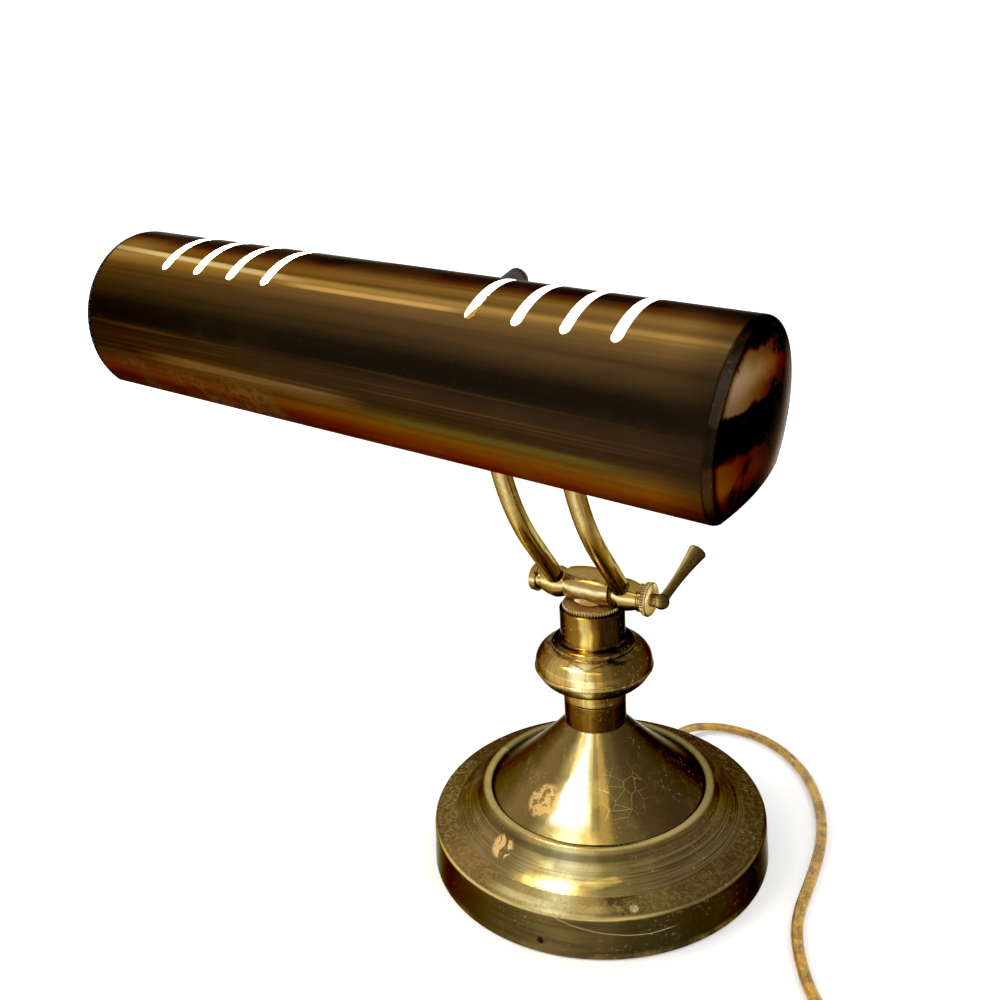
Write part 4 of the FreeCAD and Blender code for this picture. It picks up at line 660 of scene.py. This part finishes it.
# The caps' colours by height over the shade's axis, with a painted pale reflection and a painted dark band,
# how much of it the ramp spans, and how domed they are.
CAP_REFLECTION_STOPS = [
    (0.10, 48, 34, 15), (0.20, 92, 68, 38), (0.30, 122, 88, 42), (0.42, 108, 74, 30),
    (0.47, 36, 24, 11), (0.50, 14, 9, 4), (0.64, 16, 11, 6), (0.67, 108, 90, 72), (0.80, 134, 114, 96),
    (0.89, 108, 90, 72), (0.93, 44, 34, 22), (1.0, 56, 42, 24),
]
CAP_RAMP_SCALE = 16.0
CAP_DOME = 30.0


def make_cap_look():
    look = Look("shade_cap_look")
    along, back, rise, _, _ = shade_frame(look)
    side = look.calc("SIGN", along)
    steep = look.mul(rise, CAP_DOME)
    out = look.combine(look.add(look.mul(side, math.cos(SHADE_TIP)), look.mul(steep, math.sin(SHADE_TIP))),
                       look.mul(back, CAP_DOME),
                       look.sub(look.mul(steep, math.cos(SHADE_TIP)), look.mul(side, math.sin(SHADE_TIP))))
    outside = look.step(look.vector("DOT_PRODUCT", look.normal, out), -0.05, 0.1)
    radius = look.vector("LENGTH", look.combine(0.0, back, rise))
    wavy = look.add(rise, look.sway(0.009, 60.0, 3.0, 0.6))
    colour = look.ramp(look.add(look.mul(wavy, CAP_RAMP_SCALE), 0.5), CAP_REFLECTION_STOPS)
    blot = look.step(look.noise(52.0, 4.0, 0.6, warp=1.0), 0.50, 0.60, 0.0, 0.6)
    colour = look.mix(blot, colour, srgb(40, 28, 13))
    edge = look.step(radius, 0.0268, 0.0300)
    colour = look.mix(look.mul(edge, 0.85), colour, srgb(24, 16, 7))
    return lined(look, outside, *worn(look, colour, 0.14, speckle=0.08, cloudy=0.2))


# ---------------------------------------------------------------- other materials
def make_plain_look(name, first, second, rough, scale, metal, bump, grain=1.0, **more):
    """A mottled material between two colours, with its own grain."""
    look = Look(name)
    cloud = look.noise(scale, 5.0, 0.6)
    colour = look.mix(look.step(cloud, 0.35, 0.68), srgb(*first), srgb(*second))
    fine = look.noise(scale * 9.0 * grain, 3.0, 0.6)
    return look.finish(Base_Color=colour, Roughness=look.add(rough, look.mul(look.sub(fine, 0.5), 0.2)),
                       Metallic=metal, Normal=look.bump(look.add(fine, cloud), bump, 0.6), **more)


# The frosted glass glows strongest round the filament, whose middle is this far along x.
GLOW_MIDDLE = -0.049


def make_glow_look():
    """The frosted glass of a lamp that is lit."""
    look = Look("bulb_glass_look")
    cloud = look.noise(120.0, 4.0, 0.6)
    colour = look.mix(cloud, srgb(255, 246, 228), srgb(250, 236, 208))
    away = look.calc("ABSOLUTE", look.add(look.x, -GLOW_MIDDLE))
    glow = look.step(away, 0.030, 0.070, 9.0, 6.0)
    return look.finish(Base_Color=colour, Roughness=0.45, Emission_Color=colour, Emission_Strength=glow)


def make_cord_look():
    look = Look("cord_gold_look")
    cloud = look.noise(140.0, 4.0, 0.6)
    colour = look.mix(look.step(cloud, 0.35, 0.65), srgb(204, 154, 40), srgb(138, 98, 16))
    flecks = look.step(look.noise(700.0, 3.0, 0.6, look.scaled((1.0, 1.0, 3.0))), 0.56, 0.66)
    colour = look.mix(look.mul(flecks, 0.5), colour, srgb(248, 216, 120))
    valley = look.step(look.cells(900.0, "F1"), 0.1, 0.6)
    normal = look.bump(valley, 0.00008, 0.3)
    return look.finish(Base_Color=colour, Roughness=0.32, Metallic=0.35, Coat_Weight=0.5, Coat_Roughness=0.12,
                       Normal=normal)


# Painted light and shade: stops by how far the surface faces UP, or ACROSS for the lever and the lock ring.
KNUCKLE_STOPS = [
    (0.0, 52, 35, 8), (0.25, 84, 58, 18), (0.43, 118, 90, 38), (0.56, 150, 120, 60),
    (0.68, 238, 218, 152), (0.80, 174, 144, 80), (1.0, 138, 110, 58),
]
BARREL_STOPS = [
    (0.0, 84, 58, 16), (0.20, 190, 146, 74), (0.32, 206, 166, 96), (0.43, 100, 72, 20),
    (0.54, 116, 88, 36), (0.66, 240, 224, 172), (0.78, 158, 128, 74), (1.0, 148, 118, 64),
]
LEVER_STOPS = [
    (0.0, 176, 152, 96), (0.16, 198, 176, 116), (0.32, 106, 86, 42), (0.56, 66, 50, 22),
    (0.85, 48, 35, 17), (1.0, 80, 66, 44),
]
RING_STOPS = [
    (0.0, 222, 190, 132), (0.3, 236, 206, 148), (0.66, 222, 192, 136), (0.82, 130, 98, 44),
    (1.0, 96, 68, 24),
]
NUT_STOPS = [
    (0.0, 110, 80, 30), (0.3, 150, 118, 60), (0.55, 196, 168, 108), (0.75, 232, 208, 148),
    (1.0, 206, 180, 120),
]

dress(make_base_look(), "base_shell")
dress(make_neck_look(), "neck_sleeve", "neck_collar", "ball_lower", "ball_upper", "cap_collar")
dress(make_shade_look(), "shade_shell", "shade_cap_screws")
dress(make_cap_look(), "shade_cap_left", "shade_cap_right")
dress(make_arm_look(), "arm_tube_left", "arm_tube_right", "arm_ferrules")
dress(make_brass_look("knuckle_brass_look", KNUCKLE_STOPS, 0.13, 0.3),
      "knuckle_left", "knuckle_right", "pivot_end_cap", "grooved_ring", "switch_stem")
dress(make_brass_look("barrel_brass_look", BARREL_STOPS, 0.14, 0.3, dust=0.25), "pivot_barrel")
dress(make_brass_look("lever_brass_look", LEVER_STOPS, 0.24, 0.25, ACROSS), "lever_hub", "lever_handle")
dress(make_brass_look("ring_brass_look", RING_STOPS, 0.30, 0.25, ACROSS, dust=0.45,
                      groove=("z", RING_FULL - FLUTE_DEPTH)), "lock_ring")
dress(make_brass_look("clamp_brass_look", NUT_STOPS, 0.20, 0.25, dust=0.2,
                      groove=("x", CLAMP_FULL - FLUTE_DEPTH)), "clamp_nut")
dress(make_glow_look(), "bulb_glass")

# Plain materials: name, two colours, roughness, noise scale, metal, depth of the grain, and what wears them.
PLAIN_LOOKS = [
    ("zinc_steel_look", (176, 176, 172), (140, 140, 138), 0.34, 220.0, 1.0, 0.00003,
     ("tie_rod", "rod_washer", "rod_nut", "pivot_bolt", "arm_nuts", "shade_bracket", "socket_nipple",
      "nipple_nut")),
    ("cast_iron_look", (70, 68, 66), (44, 42, 42), 0.75, 160.0, 0.6, 0.0004, ("base_weight",)),
    ("cover_plate_look", (38, 38, 40), (26, 26, 28), 0.5, 200.0, 0.0, 0.00004, ("base_cover",)),
    ("fibre_look", (96, 64, 42), (66, 42, 28), 0.7, 500.0, 0.0, 0.0001, ("friction_washers",)),
    ("socket_aluminium_look", (206, 196, 166), (176, 162, 124), 0.3, 150.0, 1.0, 0.00003,
     ("socket_shell", "socket_cap")),
    ("phenolic_look", (34, 30, 28), (22, 20, 20), 0.35, 200.0, 0.0, 0.00003, ("socket_insert",)),
    ("bulb_screw_look", (206, 204, 196), (168, 164, 152), 0.26, 260.0, 1.0, 0.00003, ("bulb_base",)),
    ("wire_look", (244, 240, 228), (230, 224, 208), 0.4, 300.0, 0.0, 0.00003,
     ("arm_lead", "socket_lead", "base_lead")),
    ("bulb_stem_look", (236, 236, 226), (214, 214, 204), 0.2, 200.0, 0.0, 0.00002, ("bulb_stem",)),
    ("filament_look", (190, 180, 160), (150, 140, 124), 0.4, 900.0, 1.0, 0.00001, ("bulb_filament",)),
    ("switch_plastic_look", (58, 40, 26), (26, 18, 12), 0.5, 240.0, 0.0, 0.00005, ("switch_knob",)),
    ("blade_look", (214, 190, 128), (182, 156, 92), 0.22, 260.0, 1.0, 0.00002, ("plug_blades",)),
]
for *values, wearers in PLAIN_LOOKS:
    dress(make_plain_look(*values), *wearers)
dress(make_plain_look("felt_look", (44, 84, 58), (28, 58, 40), 0.95, 500.0, 0.0, 0.0004, 2.0,
                      Sheen_Weight=0.4, Sheen_Roughness=0.6), "felt_pad")
BUSHING_LOOK = make_plain_look("bushing_look", (40, 34, 30), (26, 22, 20), 0.5, 300.0, 0.0, 0.00004)
dress(BUSHING_LOOK, "cord_bushing")
PLUG_LOOK = make_plain_look("plug_gold_look", (198, 152, 54), (160, 118, 34), 0.38, 160.0, 0.1, 0.00005,
                            Coat_Weight=0.3, Coat_Roughness=0.2)
CORD_LOOK = make_cord_look()


# ---------------------------------------------------------------- cord, plug and tie
CORD_WIDTH = 0.0056
CORD_HALF_HEIGHT = 0.0021
# The cord leaves the base's back, comes down to the floor and lies on it.
CORD_START = [
    (0.0, 0.0950, 0.0090), (0.0, 0.1090, 0.0068), (0.0080, 0.1240, 0.0036),
    (0.0260, 0.1310, 0.0023),
]
CORD_LYING = [
    (0.0500, 0.1270), (0.0740, 0.1090), (0.0920, 0.0820), (0.1030, 0.0510), (0.1070, 0.0190),
    (0.1090, -0.0090), (0.1160, -0.0300), (0.1310, -0.0550), (0.1500, -0.0690), (0.1730, -0.0720),
    (0.1960, -0.0720),
]
CORD_ROUTE = CORD_START + [(x, y, CORD_HALF_HEIGHT) for x, y in CORD_LYING]
COIL_CENTRE = (0.196, -0.112)
COIL_OUTER = 0.0401
COIL_PITCH = 0.0057
COIL_TURNS = 3
COIL_POINTS = 14
COIL_LAYER = 0.0044
TAIL_ROUTE = [
    (0.1820, -0.1530, 0.0058), (0.1720, -0.1527, 0.0042), (0.1650, -0.1512, 0.0044),
    (0.1580, -0.1500, 0.0054),
]
# The first turn starts at the coil's back, where the cord comes in.
COIL_START = 90.0


def coil_points():
    """The turns: in along the floor, up one layer at the middle, and out again on top."""
    points = []
    inner = COIL_OUTER - COIL_TURNS * COIL_PITCH
    winding = COIL_TURNS * COIL_POINTS
    total = 2 * winding + COIL_POINTS + COIL_POINTS // 2
    for number in range(1, total + 1):
        turn = math.radians(COIL_START - 360.0 * number / COIL_POINTS)
        if number <= winding:
            radius, layer = COIL_OUTER - COIL_PITCH * number / COIL_POINTS, 0.0
        elif number <= winding + COIL_POINTS:
            radius, layer = inner, (number - winding) / COIL_POINTS
        else:
            out = number - winding - COIL_POINTS
            radius, layer = min(inner + COIL_PITCH * out / COIL_POINTS, COIL_OUTER), 1.0
        height = CORD_HALF_HEIGHT + COIL_LAYER * layer
        points.append((COIL_CENTRE[0] + radius * math.cos(turn), COIL_CENTRE[1] + radius * math.sin(turn),
                       height))
    return points


def nurbs_line(points):
    """The points that a smooth spline through a route's control points gives."""
    curve = bpy.data.curves.new("route", "CURVE")
    curve.dimensions = "3D"
    curve.resolution_u = 6
    spline = curve.splines.new("NURBS")
    spline.points.add(len(points) - 1)
    for knot, point in zip(spline.points, points):
        knot.co = (*point, 1.0)
    spline.order_u = 3
    spline.use_endpoint_u = True
    holder = bpy.data.objects.new("route", curve)
    mesh = bpy.data.meshes.new_from_object(holder)
    line = [vertex.co.copy() for vertex in mesh.vertices]
    bpy.data.meshes.remove(mesh)
    bpy.data.objects.remove(holder)
    bpy.data.curves.remove(curve)
    return line


# The groove between the cord's two conductors and the faint line along each of them: how deep each is,
# as a share of the cord's height, how wide, and for the lines how far from the middle.
GROOVE_SHARE = 0.42
GROOVE_WIDTH = 0.00055
LINE_SHARE = 0.07
LINE_WIDTH = 0.00022
LINE_PLACE = 0.0015
CORD_SQUARENESS = 0.72


def cord_section(count=28):
    """The outline of a two-conductor cord, with a groove on both faces, as (side, up) points."""
    points = []
    for number in range(count):
        turn = 2.0 * math.pi * number / count
        side = CORD_WIDTH / 2 * math.cos(turn)
        rise = CORD_HALF_HEIGHT * math.copysign(abs(math.sin(turn)) ** CORD_SQUARENESS, math.sin(turn))
        rise *= 1.0 - GROOVE_SHARE * math.exp(-(side / GROOVE_WIDTH) ** 2)
        rise *= 1.0 - LINE_SHARE * math.exp(-((abs(side) - LINE_PLACE) / LINE_WIDTH) ** 2)
        points.append((side, rise))
    return points


def sweep_rings(line, section):
    """Rings that keep a section level along a line that stays near the floor."""
    rings = []
    for number, point in enumerate(line):
        ahead = line[min(number + 1, len(line) - 1)] - line[max(number - 1, 0)]
        ahead.normalize()
        side = ahead.cross(Vector((0, 0, 1))).normalized()
        up = side.cross(ahead)
        rings.append([point + side * across + up * rise for across, rise in section])
    return rings


def skin_mesh(name, rings, looped=False):
    """A skin over rings of the same number of points, closed by its ends or joined into a loop."""
    builder = bmesh.new()
    made = [[builder.verts.new(point) for point in ring] for ring in rings]
    count = len(rings[0])
    following = made[1:] + made[:1] if looped else made[1:]
    for first, second in zip(made, following):
        for number in range(count):
            after = (number + 1) % count
            builder.faces.new((first[number], first[after], second[after], second[number]))
    if not looped:
        builder.faces.new(made[0][::-1])
        builder.faces.new(made[-1])
    bmesh.ops.recalc_face_normals(builder, faces=builder.faces)
    mesh = bpy.data.meshes.new(name)
    builder.to_mesh(mesh)
    builder.free()
    mesh.polygons.foreach_set("use_smooth", [True] * len(mesh.polygons))
    item = bpy.data.objects.new(name, mesh)
    scene.collection.objects.link(item)
    return item


def rounded_box(width, height, power, count=32):
    """A rounded rectangle as (side, up) points."""
    points = []
    for number in range(count):
        turn = 2.0 * math.pi * number / count
        cos_turn, sin_turn = math.cos(turn), math.sin(turn)
        points.append((width / 2 * math.copysign(abs(cos_turn) ** power, cos_turn),
                       height / 2 * math.copysign(abs(sin_turn) ** power, sin_turn)))
    return points


def make_cord():
    line = nurbs_line(CORD_ROUTE + coil_points() + TAIL_ROUTE)
    length = sum((after - before).length for before, after in zip(line, line[1:]))
    cord = skin_mesh("lamp_cord", sweep_rings(line, cord_section()))
    cord.data.materials.append(CORD_LOOK)
    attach(cord, "base")
    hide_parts("cord", "cord_tail", "cord_coil")
    return cord, line, length


# Along the plug from the cord's end: how far, width, height, and the height of the middle.
PLUG_SECTIONS = [
    (-0.0010, 0.0062, 0.0048, 0.0054), (0.0008, 0.0078, 0.0060, 0.0054), (0.0050, 0.0088, 0.0070, 0.0055),
    (0.0060, 0.0080, 0.0062, 0.0055), (0.0075, 0.0096, 0.0074, 0.0055), (0.0088, 0.0088, 0.0066, 0.0055),
    (0.0104, 0.0112, 0.0084, 0.0055), (0.0140, 0.0158, 0.0098, 0.0055), (0.0178, 0.0212, 0.0106, 0.0055),
    (0.0196, 0.0206, 0.0100, 0.0055), (0.0212, 0.0222, 0.0108, 0.0055), (0.0228, 0.0214, 0.0102, 0.0055),
    (0.0244, 0.0228, 0.0109, 0.0055), (0.0256, 0.0228, 0.0109, 0.0055), (0.0260, 0.0218, 0.0100, 0.0055),
]
PLUG_HEADING = (-0.018, 0.002, 0.0)
PLUG_SQUARENESS = 0.55


def make_plug():
    """A moulded flat plug: a ribbed neck, a flare and grip ridges, from the cord's end to its face."""
    start = Vector((TAIL_ROUTE[-1][0], TAIL_ROUTE[-1][1], 0.0))
    heading = Vector(PLUG_HEADING).normalized()
    side = heading.cross(Vector((0, 0, 1)))
    rings = []
    for along, width, height, middle in PLUG_SECTIONS:
        centre = start + heading * along + Vector((0, 0, middle))
        rings.append([centre + side * across + Vector((0, 0, rise))
                      for across, rise in rounded_box(width, height, PLUG_SQUARENESS)])
    plug = skin_mesh("plug", rings)
    plug.data.materials.append(PLUG_LOOK)
    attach(plug, "base")
    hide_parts("plug_body")
    return plug


# The tie: where it is round the coil, how wide and high its loop is, and the section of its strip.
TIE_TURN = math.radians(20.0)
TIE_WIDTH = 0.0256
TIE_HEIGHT = 0.0090
TIE_SQUARENESS = 0.42
TIE_POINTS = 48
TIE_SECTION = ((-0.0016, 0.0), (-0.0016, 0.0004), (0.0, 0.0007), (0.0016, 0.0004), (0.0016, 0.0))


def make_tie():
    """A wire tie round the coil's turns, opposite the plug."""
    out = Vector((math.cos(TIE_TURN), math.sin(TIE_TURN), 0.0))
    along = Vector((-out.y, out.x, 0.0))
    centre = Vector((*COIL_CENTRE, 0.0)) + out * (COIL_OUTER - COIL_TURNS / 2 * COIL_PITCH)
    centre.z = TIE_HEIGHT / 2
    rings = []
    for across, rise in rounded_box(TIE_WIDTH, TIE_HEIGHT, TIE_SQUARENESS, TIE_POINTS):
        spot = centre + out * across + Vector((0, 0, rise))
        outward = (out * (across / (TIE_WIDTH / 2)) + Vector((0, 0, rise / (TIE_HEIGHT / 2)))).normalized()
        rings.append([spot + along * reach + outward * thick for reach, thick in TIE_SECTION])
    tie = skin_mesh("coil_tie", rings, looped=True)
    tie.data.materials.append(BUSHING_LOOK)
    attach(tie, "base")
    return tie


cord, cord_line, cord_length = make_cord()
plug = make_plug()
tie = make_tie()


# ---------------------------------------------------------------- floor, light
def seen_directly(tree):
    """1 for rays from the camera and for those that metal or glass sends on, otherwise 0."""
    path = tree.nodes.new("ShaderNodeLightPath")
    share = path.outputs["Is Camera Ray"]
    for name in ("Is Glossy Ray", "Is Transmission Ray"):
        node = tree.nodes.new("ShaderNodeMath")
        node.operation = "MAXIMUM"
        tree.links.new(share, node.inputs[0])
        tree.links.new(path.outputs[name], node.inputs[1])
        share = node.outputs[0]
    return share


# The floor's own light is lower near the lamp, so that its shadow shows, and full beyond FLOOR_FADE.
FLOOR_NEAR = 0.30
FLOOR_FADE = (0.35, 1.6)
FLOOR_HALF = 40.0
FLOOR_HEIGHT = -0.0003


def make_floor():
    mesh = bpy.data.meshes.new("floor")
    low, high = -FLOOR_HALF, FLOOR_HALF
    mesh.from_pydata([(low, low, 0), (high, low, 0), (high, high, 0), (low, high, 0)], [], [(0, 1, 2, 3)])
    floor = bpy.data.objects.new("floor", mesh)
    floor.location = (0, 0, FLOOR_HEIGHT)
    scene.collection.objects.link(floor)
    look = Look("floor_look")
    far = look.vector("LENGTH", look.combine(look.x, look.y, 0.0))
    glow = look.mul(look.step(far, *FLOOR_FADE, FLOOR_NEAR, 1.0), seen_directly(look.tree))
    floor.data.materials.append(look.finish(Base_Color=(0.86, 0.86, 0.86, 1.0), Roughness=0.95,
                                            Specular_IOR_Level=0.0, Emission_Color=(1.0, 1.0, 1.0, 1.0),
                                            Emission_Strength=glow))


def make_light(name, place, target, size, power, colour=(1.0, 1.0, 1.0), glossy=False):
    data = bpy.data.lights.new(name, "AREA")
    data.shape = "RECTANGLE"
    data.size, data.size_y = size
    data.energy = power
    data.color = colour
    light = bpy.data.objects.new(name, data)
    light.location = place
    light.rotation_mode = "QUATERNION"
    light.rotation_quaternion = (Vector(target) - Vector(place)).to_track_quat("-Z", "Y")
    light.visible_glossy = glossy
    scene.collection.objects.link(light)


WORLD_FILL = 0.55


def make_world():
    """White where it is seen or reflected, and softer as light."""
    world = bpy.data.worlds.new("studio")
    world.use_nodes = True
    tree = world.node_tree
    background = tree.nodes["Background"]
    strength = tree.nodes.new("ShaderNodeMapRange")
    strength.inputs["To Min"].default_value = WORLD_FILL
    strength.inputs["To Max"].default_value = 1.0
    tree.links.new(seen_directly(tree), strength.inputs["Value"])
    tree.links.new(strength.outputs[0], background.inputs["Strength"])
    background.inputs["Color"].default_value = (1.0, 1.0, 1.0, 1.0)
    scene.world = world


make_floor()
make_world()
AIM = (0.0, -0.05, 0.2)
make_light("key", (-0.9, -0.9, 1.5), AIM, (0.9, 0.6), 11.0, (1.0, 0.98, 0.94))
make_light("fill", (1.3, -0.7, 0.9), AIM, (0.9, 0.9), 4.0)
make_light("rear", (0.3, 1.1, 1.5), AIM, (1.1, 0.5), 7.0)
make_light("sparkle", (-0.45, -1.0, 1.15), AIM, (0.22, 0.22), 0.35, (1.0, 0.97, 0.9), True)

scene.view_settings.view_transform = "Standard"
